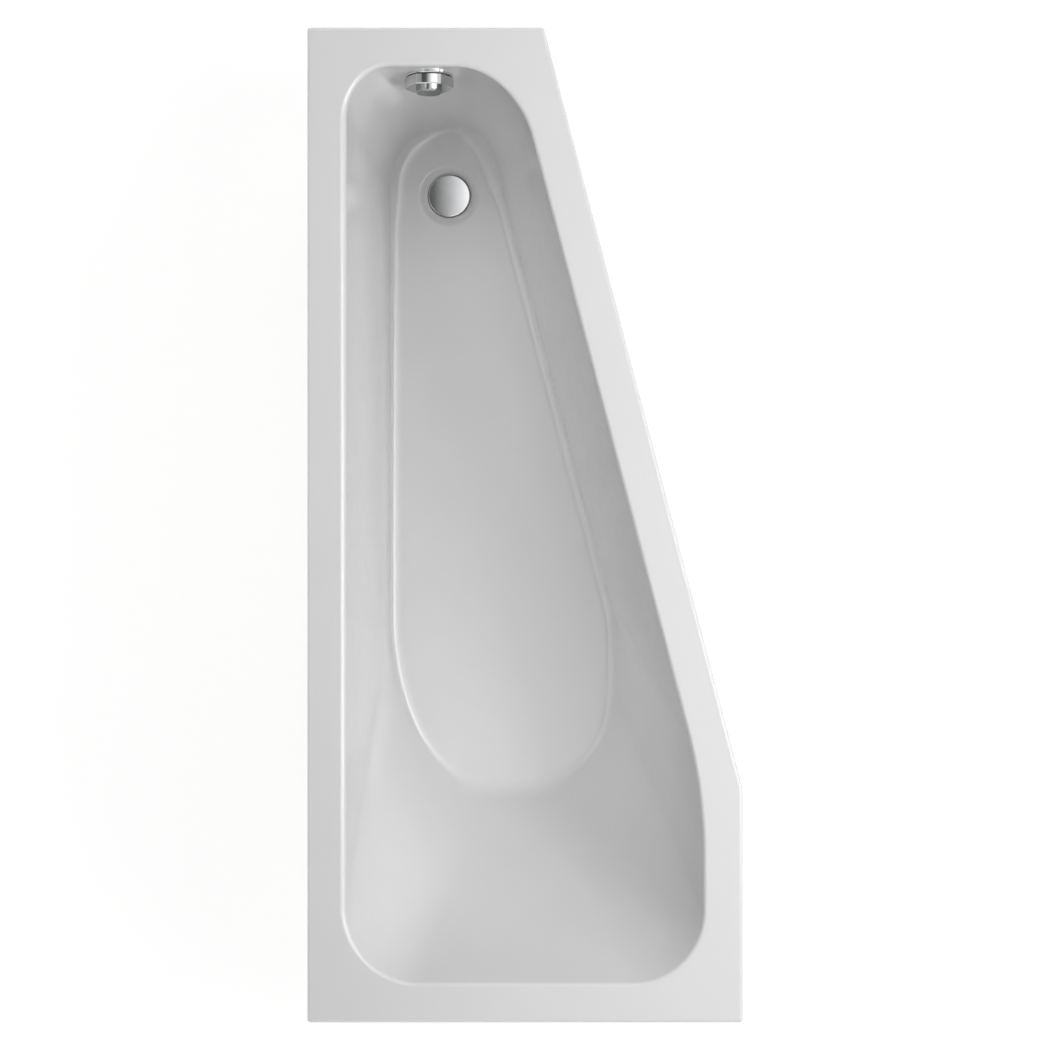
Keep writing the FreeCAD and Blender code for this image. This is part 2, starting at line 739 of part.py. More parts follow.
WEB_UNDERSIDE = f"({RAIL_TOP} - rail_wall)"
LEG_ROOM = f"({RAIL_TOP} - rail_height)"
PAD_TOP = f"min(sole_thickness + pad_height; {LEG_ROOM} * pad_room_share)"
PAD_FOOT = f"(({PAD_TOP} - sole_thickness) * pad_foot_share)"
PAD_EDGE_TOP = f"(sole_thickness + min(pad_rim_height; {PAD_FOOT}))"
SOCKET_FLOOR = f"(sole_thickness + min(pad_socket_floor; {PAD_FOOT}))"
SOCKET_RADIUS = "stud_radius + stud_clearance"


def upright(x, y, z="0"):
    """A frame that stands upright at a place."""
    return lambda thing: place(thing, x, y, z)


def prism(name, sides, corner_radius, bore, bottom, top, frame, crown=""):
    """A prism with a regular outline, flat or crowned sides and a round bore along the frame's Z axis."""
    body = new_body(name, frame)
    sketch = new_sketch(body, "XY_Plane", bottom)
    corners = []
    for i in range(sides):
        turn = 2 * math.pi * i / sides
        parts = [round(math.cos(turn), 9), round(math.sin(turn), 9)]
        corners.append(tuple(f"({corner_radius}) * {part}" if part else "0" for part in parts))
    if crown:
        draw_crowned(sketch, corners, f"2 * {corner_radius} * sin(180 deg / {sides})", crown)
    else:
        draw_polygon(sketch, corners)
    if bore:
        draw_circle(sketch, "0", "0", bore)
    pad = add_pad(body, sketch, f"({top}) - ({bottom})")
    return body, pad


def rail(name, y, right_leg):
    """A steel channel, open below, with holes for its studs and screws."""
    body = new_body(f"{name}_end_rail", upright("0", y, RAIL_TOP))
    start = f"{LEFT_LEG_X} - rail_overhang"
    section = new_sketch(body, "YZ_Plane", start)
    outer, inner = "rail_width / 2", "(rail_width / 2 - rail_wall)"
    corners = (
        (f"-{outer}", "0"),
        (f"-{outer}", "-rail_height"),
        (f"-{inner}", "-rail_height"),
        (f"-{inner}", "-rail_wall"),
        (inner, "-rail_wall"),
        (inner, "-rail_height"),
        (outer, "-rail_height"),
        (outer, "0"),
    )
    draw_polygon(section, corners)
    add_pad(body, section, f"{right_leg} + rail_overhang - ({start})")
    holes = new_sketch(body, "XY_Plane")
    for x in (LEFT_LEG_X, right_leg):
        draw_circle(holes, x, "0", "stud_radius + stud_hole_clearance")
    for x in screw_places(right_leg):
        draw_circle(holes, x, "0", "screw_radius + screw_clearance")
    add_pocket(body, holes, "rail_height")
    keep(f"{name}_end_rail", body)


def leg(name, x, y):
    """A threaded stud standing in its pad, with a rubber sole below."""
    frame = upright(x, y)
    stud = disc(f"{name}_stud", "stud_radius", SOCKET_FLOOR, f"{RAIL_TOP} + stud_reserve", frame)
    keep(f"{name}_leg_stud", stud)
    corners = (
        ("0", "sole_thickness"),
        ("pad_radius", "sole_thickness"),
        ("pad_radius", PAD_EDGE_TOP),
        ("pad_neck_radius", PAD_TOP),
        (SOCKET_RADIUS, PAD_TOP),
        (SOCKET_RADIUS, SOCKET_FLOOR),
        ("0", SOCKET_FLOOR),
    )
    keep(f"{name}_leg_pad", turned(f"{name}_pad", corners, frame))
    keep(f"{name}_leg_sole", disc(f"{name}_sole", "sole_radius", "0", "sole_thickness", frame))


def foot_frame():
    """Both rails with their legs, nuts and screws."""
    weld_nuts, lock_nuts, screws = [], [], []
    nut_low = f"{WEB_UNDERSIDE} - nut_thickness"
    lock_low = f"{WEB_UNDERSIDE} - 2 * nut_thickness"
    screw_corners = (
        ("0", "-screw_head_height"),
        ("screw_head_radius", "-screw_head_height"),
        ("screw_head_radius", "0"),
        ("screw_radius", "0"),
        ("screw_radius", "rail_wall + screw_bite"),
        ("0", "rail_wall + screw_bite"),
    )
    for name, y, right_leg in RAILS:
        rail(name, y, right_leg)
        for side, x in (("left", LEFT_LEG_X), ("right", right_leg)):
            leg(f"{name}_{side}", x, y)
            frame = upright(x, y)
            nut_shape = (6, "nut_corner_radius", SOCKET_RADIUS)
            weld_nuts.append(prism("weld_nut", *nut_shape, nut_low, WEB_UNDERSIDE, frame)[0])
            lock_nuts.append(prism("lock_nut", *nut_shape, lock_low, nut_low, frame)[0])
        for x in screw_places(right_leg):
            screws.append(turned("rail_screw", screw_corners, upright(x, y, WEB_UNDERSIDE)))
    keep("weld_nuts", group("weld_nut_group", weld_nuts))
    keep("lock_nuts", group("lock_nut_group", lock_nuts))
    keep("rail_screws", group("rail_screw_group", screws))


# Waste, with levels measured up from the basin floor

FLANGE_UNDERSIDE = "(flange_seal_thickness - dish_depth)"
FLANGE_TOP = f"({FLANGE_UNDERSIDE} + flange_thickness)"
BOSS_UNDERSIDE = "(-dish_depth - sheet_thickness)"
WASTE_TOP = f"({BOSS_UNDERSIDE} - gasket_thickness)"
SLEEVE_END = f"({WASTE_TOP} - sleeve_depth)"
CHAMBER_FLOOR = f"({SLEEVE_END} - waste_chamber_height)"
WASTE_BASE = f"({CHAMBER_FLOOR} - waste_body_wall)"
GUIDE_END = f"({WASTE_BASE} - plunger_guide_length)"
PORT_LEVEL = f"({SLEEVE_END} - waste_chamber_height / 2)"
SLEEVE_RADIUS = "waste_hole_radius - hole_clearance"
PLUG_UNDERSIDE = f"({FLANGE_TOP} + plug_seal_thickness)"
GUIDE_BORE = "plunger_radius + plunger_clearance"


def toward(angle):
    """A frame at the waste's ports, its Z axis laid level by a turn about X."""
    def frame(thing):
        thing.Placement = FreeCAD.Placement(Vector(), FreeCAD.Rotation(X_AXIS, angle))
        place(thing, DRAIN_X, DRAIN_Y, f"{BASIN_FLOOR} + {PORT_LEVEL}")
    return frame


toward_head = toward(90)
toward_drain_end = toward(-90)


def waste_fitting():
    """The flange clamped through the tub's hole, its seals and the body underneath."""
    flange = (
        ("flange_bore_radius", SLEEVE_END),
        (SLEEVE_RADIUS, SLEEVE_END),
        (SLEEVE_RADIUS, FLANGE_UNDERSIDE),
        ("flange_radius", FLANGE_UNDERSIDE),
        ("flange_radius", FLANGE_TOP),
        ("flange_bore_radius + flange_seat_width", FLANGE_TOP),
        ("flange_bore_radius", f"{FLANGE_TOP} - flange_seat_width"),
    )
    keep("waste_flange", turned("waste_flange", flange, at_waste))
    hole = "waste_hole_radius + hole_clearance"
    seal_levels = ("-dish_depth", FLANGE_UNDERSIDE)
    keep("flange_seal", ring("flange_seal", hole, f"{hole} + flange_seal_width", *seal_levels, at_waste))
    keep("waste_gasket", ring("waste_gasket", hole, "gasket_radius", WASTE_TOP, BOSS_UNDERSIDE, at_waste))


def waste_body():
    """The cup under the tub with its outlet stub, hose tail and the plunger's guide."""
    flange_low = f"{WASTE_TOP} - waste_flange_thickness"
    cup = (
        ("0", WASTE_TOP),
        ("0", GUIDE_END),
        ("plunger_guide_radius", GUIDE_END),
        ("plunger_guide_radius", WASTE_BASE),
        ("waste_body_radius", WASTE_BASE),
        ("waste_body_radius", flange_low),
        ("waste_flange_radius", flange_low),
        ("waste_flange_radius", WASTE_TOP),
    )
    thread = f"{SLEEVE_RADIUS} + thread_clearance"
    hollow = (
        ("0", f"{WASTE_TOP} + overrun"),
        ("0", f"{GUIDE_END} - overrun"),
        (GUIDE_BORE, f"{GUIDE_END} - overrun"),
        (GUIDE_BORE, CHAMBER_FLOOR),
        ("waste_chamber_radius", CHAMBER_FLOOR),
        ("waste_chamber_radius", SLEEVE_END),
        (thread, SLEEVE_END),
        (thread, f"{WASTE_TOP} + overrun"),
    )
    stub = disc("outlet_stub", "pipe_radius", "0", "outlet_stub_length", toward_head)
    stub_end = "outlet_stub_length + overrun"
    stub_bore = disc("outlet_bore", "pipe_radius - pipe_wall", "0", stub_end, toward_head)
    tail = disc("hose_tail", "hose_tail_radius", "0", "hose_tail_length", toward_drain_end)
    tail_radius = "hose_tail_radius - hose_tail_wall"
    tail_bore = disc("hose_tail_bore", tail_radius, "0", "hose_tail_length + overrun", toward_drain_end)
    solid = joined("waste_solid", [turned("waste_cup", cup, at_waste), stub, tail])
    tools = [turned("waste_hollow", hollow, at_waste), stub_bore, tail_bore]
    keep("waste_body", cut("waste_body", solid, tools))


def plug():
    """The pop-up plug: domed cover, finned carrier on a stem, and the flat seal between cover and flange."""
    edge = f"{PLUG_UNDERSIDE} + plug_edge_thickness"
    cover = (
        ("0", PLUG_UNDERSIDE),
        ("plug_radius", PLUG_UNDERSIDE),
        ("plug_radius", edge),
        ("0", f"{edge} + plug_crown"),
    )
    keep("plug_cover", turned("plug_cover", cover, at_waste, domes=(2,)))
    stem = disc("plug_stem", "plug_stem_radius", "-plug_stem_length", PLUG_UNDERSIDE, at_waste)
    span = "2 * (flange_bore_radius - plug_fin_clearance)"
    fin_low = f"{PLUG_UNDERSIDE} - plug_fin_height"
    fins = []
    for name, sizes in (("fin_x", (span, "plug_fin_thickness")), ("fin_y", ("plug_fin_thickness", span))):
        corner = (f"{DRAIN_X} - {sizes[0]} / 2", f"{DRAIN_Y} - {sizes[1]} / 2", f"{BASIN_FLOOR} + {fin_low}")
        fins.append(box(name, (*sizes, "plug_fin_height"), corner))
    keep("plug_carrier", joined("plug_carrier", [stem, *fins]))
    inner = "flange_bore_radius + flange_seat_width"
    seal_levels = (FLANGE_TOP, PLUG_UNDERSIDE)
    keep("plug_seal", ring("plug_seal", inner, f"{inner} + plug_seal_width", *seal_levels, at_waste))


def lift_plunger():
    """The plunger under the plug's stem, on the end of the cable's inner wire."""
    low = "-plug_stem_length - plunger_length"
    corners = (
        ("0", "-plug_stem_length"),
        ("0", f"{low} - wire_reach"),
        ("wire_radius", f"{low} - wire_reach"),
        ("wire_radius", low),
        ("plunger_radius", low),
        ("plunger_radius", "-plug_stem_length"),
    )
    keep("lift_plunger", turned("lift_plunger", corners, at_waste))


# Overflow, with levels measured into the basin from the wall's inner face

WALL_BACK = f"(-sheet_thickness * {WALL_COS})"
CUP_TOP = f"({WALL_BACK} - gasket_thickness)"
OVERFLOW_SLEEVE_END = f"({CUP_TOP} - sleeve_depth)"
CUP_FLOOR = f"({OVERFLOW_SLEEVE_END} - overflow_chamber_depth)"
CUP_BACK = f"({CUP_FLOOR} - overflow_back_wall)"
NOZZLE_LEVEL = f"({OVERFLOW_SLEEVE_END} - overflow_chamber_depth / 2)"
BEARING_TOP = f"({CUP_FLOOR} + bearing_height)"
PINION_LOW = f"({BEARING_TOP} + bearing_gap)"
PINION_HIGH = f"({PINION_LOW} + pinion_width)"
OVERFLOW_SLEEVE = "overflow_hole_radius - hole_clearance"
SPINDLE_BORE = "spindle_radius + spindle_clearance"
KNOB_BACK = "(rosette_thickness + knob_gap)"
KNOB_FRONT = f"({KNOB_BACK} + knob_height)"
PITCH_RADIUS = "(gear_module * pinion_teeth / 2)"
RACK_ROOT = f"({PITCH_RADIUS} + gear_module * (1 + tooth_clearance_share))"
RACK_BACK = f"({RACK_ROOT} + rack_back)"
WIRE_X = f"(-{RACK_ROOT} - rack_back / 2)"
WIRE_LEVEL = f"(({PINION_LOW} + {PINION_HIGH}) / 2)"


def overflow_point(x, y, z):
    """A point of the overflow's frame as three expressions in the tub's frame."""
    return (
        f"({OVERFLOW_X} + {x})",
        f"({OVERFLOW_Y} + ({y}) * {WALL_SIN} - ({z}) * {WALL_COS})",
        f"({OVERFLOW_Z} + ({y}) * {WALL_COS} + ({z}) * {WALL_SIN})",
    )


def down_wall(x, z):
    """A frame beside the overflow's axis, its Z axis running down along the wall."""
    def frame(thing):
        angle = f"90 deg + {OVERFLOW_TILT}"
        thing.Placement = FreeCAD.Placement(Vector(), FreeCAD.Rotation(X_AXIS, value(angle)))
        place(thing, *overflow_point(x, "0", z))
        bind(thing, "Placement.Rotation.Angle", angle)
    return frame


down_nozzle = down_wall("nozzle_offset", NOZZLE_LEVEL)
down_gland = down_wall(WIRE_X, WIRE_LEVEL)


def overflow_fitting():
    """The rosette clamped through the wall, the gasket behind it and the spindle's bearing spider."""
    rosette = (
        ("rosette_bore_radius", OVERFLOW_SLEEVE_END),
        (OVERFLOW_SLEEVE, OVERFLOW_SLEEVE_END),
        (OVERFLOW_SLEEVE, "0"),
        ("rosette_radius", "0"),
        ("rosette_radius", "rosette_thickness - rosette_chamfer"),
        ("rosette_radius - rosette_chamfer", "rosette_thickness"),
        ("rosette_bore_radius", "rosette_thickness"),
    )
    keep("overflow_rosette", turned("overflow_rosette", rosette, at_overflow))
    hole = "overflow_hole_radius + hole_clearance"
    keep("overflow_gasket", ring("overflow_gasket", hole, "gasket_radius", CUP_TOP, WALL_BACK, at_overflow))
    low, high = "rosette_thickness - spider_height", "rosette_thickness"
    outer = "rosette_bore_radius - spider_clearance"
    solids = [
        ring("spider_ring", f"{outer} - spider_ring_width", outer, low, high, at_overflow),
        ring("spider_boss", SPINDLE_BORE, "spider_boss_radius", low, high, at_overflow),
    ]
    near = "spider_boss_radius - spider_ring_width / 2"
    far = f"{outer} - spider_ring_width / 2"
    half = "spider_arm_width / 2"
    for i in range(3):
        turn = math.radians(90 + 120 * i)
        c, s = round(math.cos(turn), 9), round(math.sin(turn), 9)
        arm = new_body("spider_arm", at_overflow)
        sketch = new_sketch(arm, "XY_Plane", low)
        ends = ((near, half), (near, f"-{half}"), (far, f"-{half}"), (far, half))
        draw_polygon(sketch, [(f"({r}) * {c} - ({w}) * {s}", f"({r}) * {s} + ({w}) * {c}") for r, w in ends])
        add_pad(arm, sketch, "spider_height")
        solids.append(arm)
    keep("spindle_spider", joined("spindle_spider", solids))


def overflow_body():
    """The cup behind the wall with its hose nozzle, cable gland, spindle bearing and rack guide."""
    flange_low = f"{CUP_TOP} - overflow_flange_thickness"
    cup = (
        ("0", CUP_BACK),
        ("overflow_body_radius", CUP_BACK),
        ("overflow_body_radius", flange_low),
        ("overflow_flange_radius", flange_low),
        ("overflow_flange_radius", CUP_TOP),
        ("0", CUP_TOP),
    )
    thread = f"{OVERFLOW_SLEEVE} + thread_clearance"
    hollow = (
        ("0", f"{CUP_FLOOR} + bearing_floor"),
        (SPINDLE_BORE, f"{CUP_FLOOR} + bearing_floor"),
        (SPINDLE_BORE, BEARING_TOP),
        ("spider_boss_radius", BEARING_TOP),
        ("spider_boss_radius", CUP_FLOOR),
        ("overflow_chamber_radius", CUP_FLOOR),
        ("overflow_chamber_radius", OVERFLOW_SLEEVE_END),
        (thread, OVERFLOW_SLEEVE_END),
        (thread, f"{CUP_TOP} + overrun"),
        ("0", f"{CUP_TOP} + overrun"),
    )
    nozzle = disc("nozzle", "hose_tail_radius", "0", "nozzle_length", down_nozzle)
    nozzle_bore_radius = "hose_tail_radius - hose_tail_wall"
    nozzle_bore = disc("nozzle_bore", nozzle_bore_radius, "0", "nozzle_length + overrun", down_nozzle)
    gland = disc("gland", "gland_radius", "rack_below", "gland_length", down_gland)
    gland_bore = disc("gland_bore", "cable_bore_radius", "0", "gland_length + overrun", down_gland)
    solid = joined("overflow_solid", [turned("overflow_cup", cup, at_overflow), nozzle, gland])
    tools = [turned("overflow_hollow", hollow, at_overflow), nozzle_bore, gland_bore]
    guide = new_body("rack_guide", at_overflow)
    sketch = new_sketch(guide, "XY_Plane", f"{CUP_FLOOR} - overflow_back_wall / 2")
    near = f"-{RACK_BACK} - rack_side_clearance"
    far = f"{near} - guide_thickness"
    half = "guide_length / 2"
    draw_polygon(sketch, ((near, f"-{half}"), (near, half), (far, half), (far, f"-{half}")))
    add_pad(guide, sketch, f"{PINION_HIGH} - {CUP_FLOOR} + overflow_back_wall / 2")
    keep("overflow_body", joined("overflow_body", [cut("overflow_hollowed", solid, tools), guide]))


def overflow_knob():
    """The six-sided turning knob, its round cap and the spindle that carries both."""
    levels = (KNOB_BACK, KNOB_FRONT)
    body, pad = prism("overflow_knob", 6, "knob_corner_radius", "", *levels, at_overflow, "knob_crown")
    add_edge_feature(body, "Chamfer", "Size", "knob_chamfer", pad, at_level(KNOB_FRONT))
    socket = new_sketch(body, "XY_Plane", KNOB_BACK)
    draw_circle(socket, "0", "0", SPINDLE_BORE)
    add_pocket(body, socket, "knob_socket_depth", reverse=True)
    doc.recompute()
    keep("overflow_knob", body)
    cap_top = f"{KNOB_FRONT} + knob_cap_height"
    cap = (
        ("0", KNOB_FRONT),
        ("knob_cap_radius", KNOB_FRONT),
        ("knob_cap_radius", f"{cap_top} - knob_cap_chamfer"),
        ("knob_cap_radius - knob_cap_chamfer", cap_top),
        ("0", cap_top),
    )
    keep("knob_cap", turned("knob_cap", cap, at_overflow))
    low, high = f"{CUP_FLOOR} + bearing_floor", f"{KNOB_BACK} + knob_socket_depth"
    keep("knob_spindle", disc("knob_spindle", "spindle_radius", low, high, at_overflow))


def involute(radius, base):
    """The angle that an involute has unwound through at a radius."""
    unwound = math.sqrt(max((radius / base) ** 2 - 1, 0))
    return unwound - math.atan(unwound)


def knob_pinion():
    """The pinion on the knob's spindle, with involute teeth and one tooth facing the rack."""
    teeth = round(value("pinion_teeth"))
    pitch = value(PITCH_RADIUS)
    base = pitch * math.cos(PRESSURE_ANGLE)
    root = value(f"{PITCH_RADIUS} - gear_module * (1 + tooth_clearance_share)")
    tip = value(f"{PITCH_RADIUS} + gear_module")
    half_tooth = math.pi / (2 * teeth) - value("gear_backlash") / (4 * pitch)
    radii = [root] + [max(base, root) + (tip - max(base, root)) * share for share in FLANK_SHARES]
    flank = [(r, half_tooth + involute(pitch, base) - involute(max(r, base), base)) for r in radii]
    outline = []
    for i in range(teeth):
        middle = math.pi + 2 * math.pi * i / teeth
        outline += [(r, middle - half) for r, half in flank]
        outline += [(r, middle + half) for r, half in reversed(flank)]
    points = [Vector(r * math.cos(a), r * math.sin(a), value(PINION_LOW)) for r, a in outline]
    face = Part.Face(Part.makePolygon(points + points[:1]))
    solid = face.extrude(Z_AXIS * value("pinion_width"))
    low = Vector(0, 0, value(PINION_LOW))
    bore = Part.makeCylinder(value(SPINDLE_BORE), value("pinion_width"), low, Z_AXIS)
    keep("knob_pinion", shaped("knob_pinion", solid.cut(bore), at_overflow))


def cable_rack():
    """The toothed rack that the pinion drives down, with the end of the cable's inner wire."""
    step = math.pi * value("gear_module")
    pitch, root, back = -value(PITCH_RADIUS), -value(RACK_ROOT), -value(RACK_BACK)
    tip = -value(f"{PITCH_RADIUS} - gear_module * rack_tip_share")
    half_pitch = step / 4 - value("gear_backlash") / 4
    slope = math.tan(PRESSURE_ANGLE)
    half_root, half_tip = half_pitch + (pitch - root) * slope, half_pitch - (tip - pitch) * slope
    low, high = -value("rack_below"), value("rack_above")
    points = [(back, high), (back, low), (root, low)]
    first = math.ceil((low + half_root) / step - 1 / 2)
    last = math.floor((high - half_root) / step - 1 / 2)
    for i in range(first, last + 1):
        middle = (i + 1 / 2) * step
        points += [(root, middle - half_root), (tip, middle - half_tip)]
        points += [(tip, middle + half_tip), (root, middle + half_root)]
    points.append((root, high))
    corners = [Vector(x, y, value(PINION_LOW)) for x, y in points]
    bar = Part.Face(Part.makePolygon(corners + corners[:1])).extrude(Z_AXIS * value("pinion_width"))
    start = Vector(value(WIRE_X), low + value("rack_back") / 2, value(WIRE_LEVEL))
    length = value("gland_length - rack_below + wire_lap + rack_back / 2")
    wire = Part.makeCylinder(value("wire_radius"), length, start, -Y_AXIS)
    keep("cable_rack", shaped("cable_rack", bar.fuse(wire).removeSplitter(), at_overflow))


# Pipes, hose and cable along rounded routes

def point(texts):
    """A point from three expressions."""
    return Vector(*(value(text) for text in texts))


def rounded_route(points, bends):
    """A wire along straight runs, with an arc at each inner point that a short run can make smaller."""
    turns = []
    for before, here, after in zip(points, points[1:], points[2:]):
        turns.append((here - before).getAngle(after - here))
    reach = [0] + [radius * math.tan(turn / 2) for radius, turn in zip(bends, turns)] + [0]
    runs = [(b - a).Length for a, b in zip(points, points[1:])]
    for i, run in enumerate(runs):
        wanted = reach[i] + reach[i + 1]
        if wanted > run:
            reach[i], reach[i + 1] = reach[i] * run / wanted, reach[i + 1] * run / wanted
    edges, at = [], points[0]
    for i in range(1, len(points) - 1):
        inward = (points[i - 1] - points[i]).normalize()
        onward = (points[i + 1] - points[i]).normalize()
        start, end = points[i] + inward * reach[i], points[i] + onward * reach[i]
        radius = reach[i] / math.tan(turns[i - 1] / 2)
        bisector = (inward + onward).normalize()
        middle = points[i] + bisector * (radius / math.cos(turns[i - 1] / 2) - radius)
        if (start - at).Length > TOUCHING:
            edges.append(Part.makeLine(at, start))
        edges.append(Part.Arc(start, middle, end).toShape())
        at = end
    if (points[-1] - at).Length > TOUCHING:
        edges.append(Part.makeLine(at, points[-1]))
    return Part.Wire(edges)


def swept_tube(route, outer, inner):
    """A round tube along a route."""
    first = route.OrderedEdges[0]
    start, heading = first.valueAt(first.FirstParameter), first.tangentAt(first.FirstParameter)
    shells = []
    for radius in (outer, inner):
        rim = Part.Wire(Part.makeCircle(radius, start, heading))
        shells.append(route.makePipeShell([rim], True, False))
    return shells[0].cut(shells[1])


def trap():
    """The U bend, the arm that swivels on its riser, and the washers and slip nuts that join them."""
    entry = "(outlet_stub_length + washer_thickness)"
    down = f"(-{entry} - trap_lead - trap_bend_radius)"
    bottom = f"({PORT_LEVEL} - 2 * trap_bend_radius - trap_drop)"
    up = f"({down} - 2 * trap_bend_radius)"
    riser_top = f"({bottom} + trap_bend_radius + trap_riser)"
    corners = (
        ("0", f"-{entry}", PORT_LEVEL),
        ("0", down, PORT_LEVEL),
        ("0", down, bottom),
        ("0", up, bottom),
        ("0", up, riser_top),
    )
    pipe = (value("pipe_radius"), value("pipe_radius - pipe_wall"))
    bend = value("trap_bend_radius")
    route = rounded_route([point(corner) for corner in corners], (bend, bend, bend))
    keep("trap_bend", shaped("trap_bend", swept_tube(route, *pipe), at_waste))
    arm_frame = upright(DRAIN_X, f"({DRAIN_Y} + {up})", f"({BASIN_FLOOR} + {riser_top})")
    level = "washer_thickness + arm_lead + arm_bend_radius"
    arm_end = "arm_edge_gap - drain_from_left"
    arm_corners = (("0", "0", "washer_thickness"), ("0", "0", level), (arm_end, "0", level))
    arm_route = rounded_route([point(corner) for corner in arm_corners], (value("arm_bend_radius"),))
    keep("trap_outlet_arm", shaped("trap_outlet_arm", swept_tube(arm_route, *pipe), arm_frame))
    bore = "pipe_radius + slip_clearance"
    inner = "pipe_radius - pipe_wall"
    washers, nuts = [], []
    for frame, start in ((toward_head, "outlet_stub_length"), (arm_frame, "0")):
        washers.append(ring("trap_washer", inner, "pipe_radius", start, f"{start} + washer_thickness", frame))
        low = f"{start} + washer_thickness / 2 - slip_nut_length / 2"
        nuts.append(prism("slip_nut", 8, "slip_nut_radius", bore, low, f"{low} + slip_nut_length", frame)[0])
    keep("trap_washers", group("trap_washer_group", washers))
    keep("trap_inlet_nut", nuts[0])
    keep("trap_outlet_nut", nuts[1])


def route_stations(route, distances):
    """Points and headings along a route at the given distances from its start."""
    stations, edges = [], route.OrderedEdges
    for distance in distances:
        left = distance
        for edge in edges:
            if left <= edge.Length or edge is edges[-1]:
                break
            left -= edge.Length
        at = edge.getParameterByLength(min(left, edge.Length))
        heading = edge.tangentAt(at)
        stations.append((edge.valueAt(at), heading * (1 if edge.Orientation == "Forward" else -1)))
    return stations


def ring_loft(stations, radii):
    """A solid through circles square to a route, their X axes kept steady so that it doesn't twist."""
    wires = []
    for (centre, heading), radius in zip(stations, radii):
        steady = (X_AXIS - heading * X_AXIS.dot(heading)).normalize()
        circle = Part.Wire(Part.makeCircle(radius))
        facing = FreeCAD.Rotation(steady, heading.cross(steady), heading, "ZXY")
        circle.Placement = FreeCAD.Placement(centre, facing)
        wires.append(circle)
    return Part.makeLoft(wires, True, True)


def overflow_hose():
    """The ribbed hose from the overflow to the tail on the waste, with plain cuffs and its two clips."""
    top = overflow_point("nozzle_offset", "hose_lap - nozzle_length", NOZZLE_LEVEL)
    port = f"({BASIN_FLOOR} + {PORT_LEVEL})"
    fall = f"(({top[2]} - {port}) * drain_wall_run / basin_depth)"
    tail = f"({DRAIN_Y} + hose_tail_length)"
    corners = (
        top,
        (top[0], f"{top[1]} - {fall}", port),
        (DRAIN_X, f"{tail} + hose_lead", port),
        (DRAIN_X, f"{tail} - hose_lap", port),
    )
    bend = value("hose_bend_radius")
    route = rounded_route([point(corner) for corner in corners], (bend, bend))
    lap, crest, groove = value("hose_lap"), value("hose_radius"), value("hose_radius - hose_groove")
    ribs = int((route.Length - 2 * lap) / value("hose_rib_pitch"))
    pitch = (route.Length - 2 * lap) / ribs
    distances, radii = [0, lap], [crest, crest]
    for i in range(ribs):
        for share, radius in zip(RIB_SHARES, (groove, groove, crest, crest)):
            distances.append(lap + pitch * (i + share))
            radii.append(radius)
    distances.append(route.Length)
    radii.append(crest)
    stations = route_stations(route, distances)
    outside = ring_loft(stations, radii)
    inside = ring_loft(stations, [value("hose_bore_radius")] * len(stations))
    keep("overflow_hose", shaped("overflow_hose", outside.cut(inside)))
    clips = []
    for frame, end in ((down_nozzle, "nozzle_length"), (toward_drain_end, "hose_tail_length")):
        start = f"{end} - hose_lap + clip_from_end"
        sizes = ("hose_radius + clip_clearance", "hose_radius + clip_clearance + clip_thickness")
        clips.append(ring("hose_clip", *sizes, start, f"{start} + clip_width", frame))
    keep("hose_clips", group("hose_clip_group", clips))


def control_cable():
    """The cable's outer sheath from the overflow's gland to the plunger's guide, and its two ferrules."""
    top = overflow_point(WIRE_X, "-gland_length", WIRE_LEVEL)
    end = f"({BASIN_FLOOR} + {GUIDE_END})"
    low = f"({end} - cable_drop)"
    fall = f"(({top[2]} - {low}) * drain_wall_run / basin_depth)"
    corners = (top, (top[0], f"{top[1]} - {fall}", low), (DRAIN_X, DRAIN_Y, low), (DRAIN_X, DRAIN_Y, end))
    bends = (value("cable_upper_bend"), value("cable_lower_bend"))
    route = rounded_route([point(corner) for corner in corners], bends)
    sheath = swept_tube(route, value("cable_radius"), value("cable_bore_radius"))
    keep("control_cable", shaped("control_cable", sheath))
    sizes = ("cable_radius + ferrule_clearance", "ferrule_radius")
    ferrules = [
        ring("upper_ferrule", *sizes, "gland_length", "gland_length + ferrule_length", down_gland),
        ring("lower_ferrule", *sizes, f"{GUIDE_END} - ferrule_length", GUIDE_END, at_waste),
    ]
    keep("cable_ferrules", group("ferrule_group", ferrules))


def write_parts():
    """Checks every object, then writes each sub-part's shape to a file named after it."""
    doc.recompute()
    for thing in doc.Objects:
        if "Invalid" in thing.State or "Error" in thing.State:
            raise RuntimeError(f"{thing.Label} failed: {thing.State}")
    for thing in SUB_PARTS:
        if thing.Shape.isNull() or not thing.Shape.isValid() or not thing.Shape.Solids:
            raise RuntimeError(f"{thing.Label} has no valid solid")
    os.makedirs("parts", exist_ok=True)
    for thing in SUB_PARTS:
        thing.Shape.exportStep(f"parts/{thing.Label}.step")
        print(thing.Label, len(thing.Shape.Solids), round(thing.Shape.Volume / 1000, 2), "cm3")


tub_shell()
laminate_backing()
base_board()
rim_battens()
foot_frame()
waste_fitting()
waste_body()
plug()
lift_plunger()
overflow_fitting()
overflow_body()
overflow_knob()
knob_pinion()
cable_rack()
overflow_hose()
control_cable()
trap()
write_parts()
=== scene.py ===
"""Looks of the space-saving bathtub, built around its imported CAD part. Lengths are in metres, +Z is up."""

import json
import math

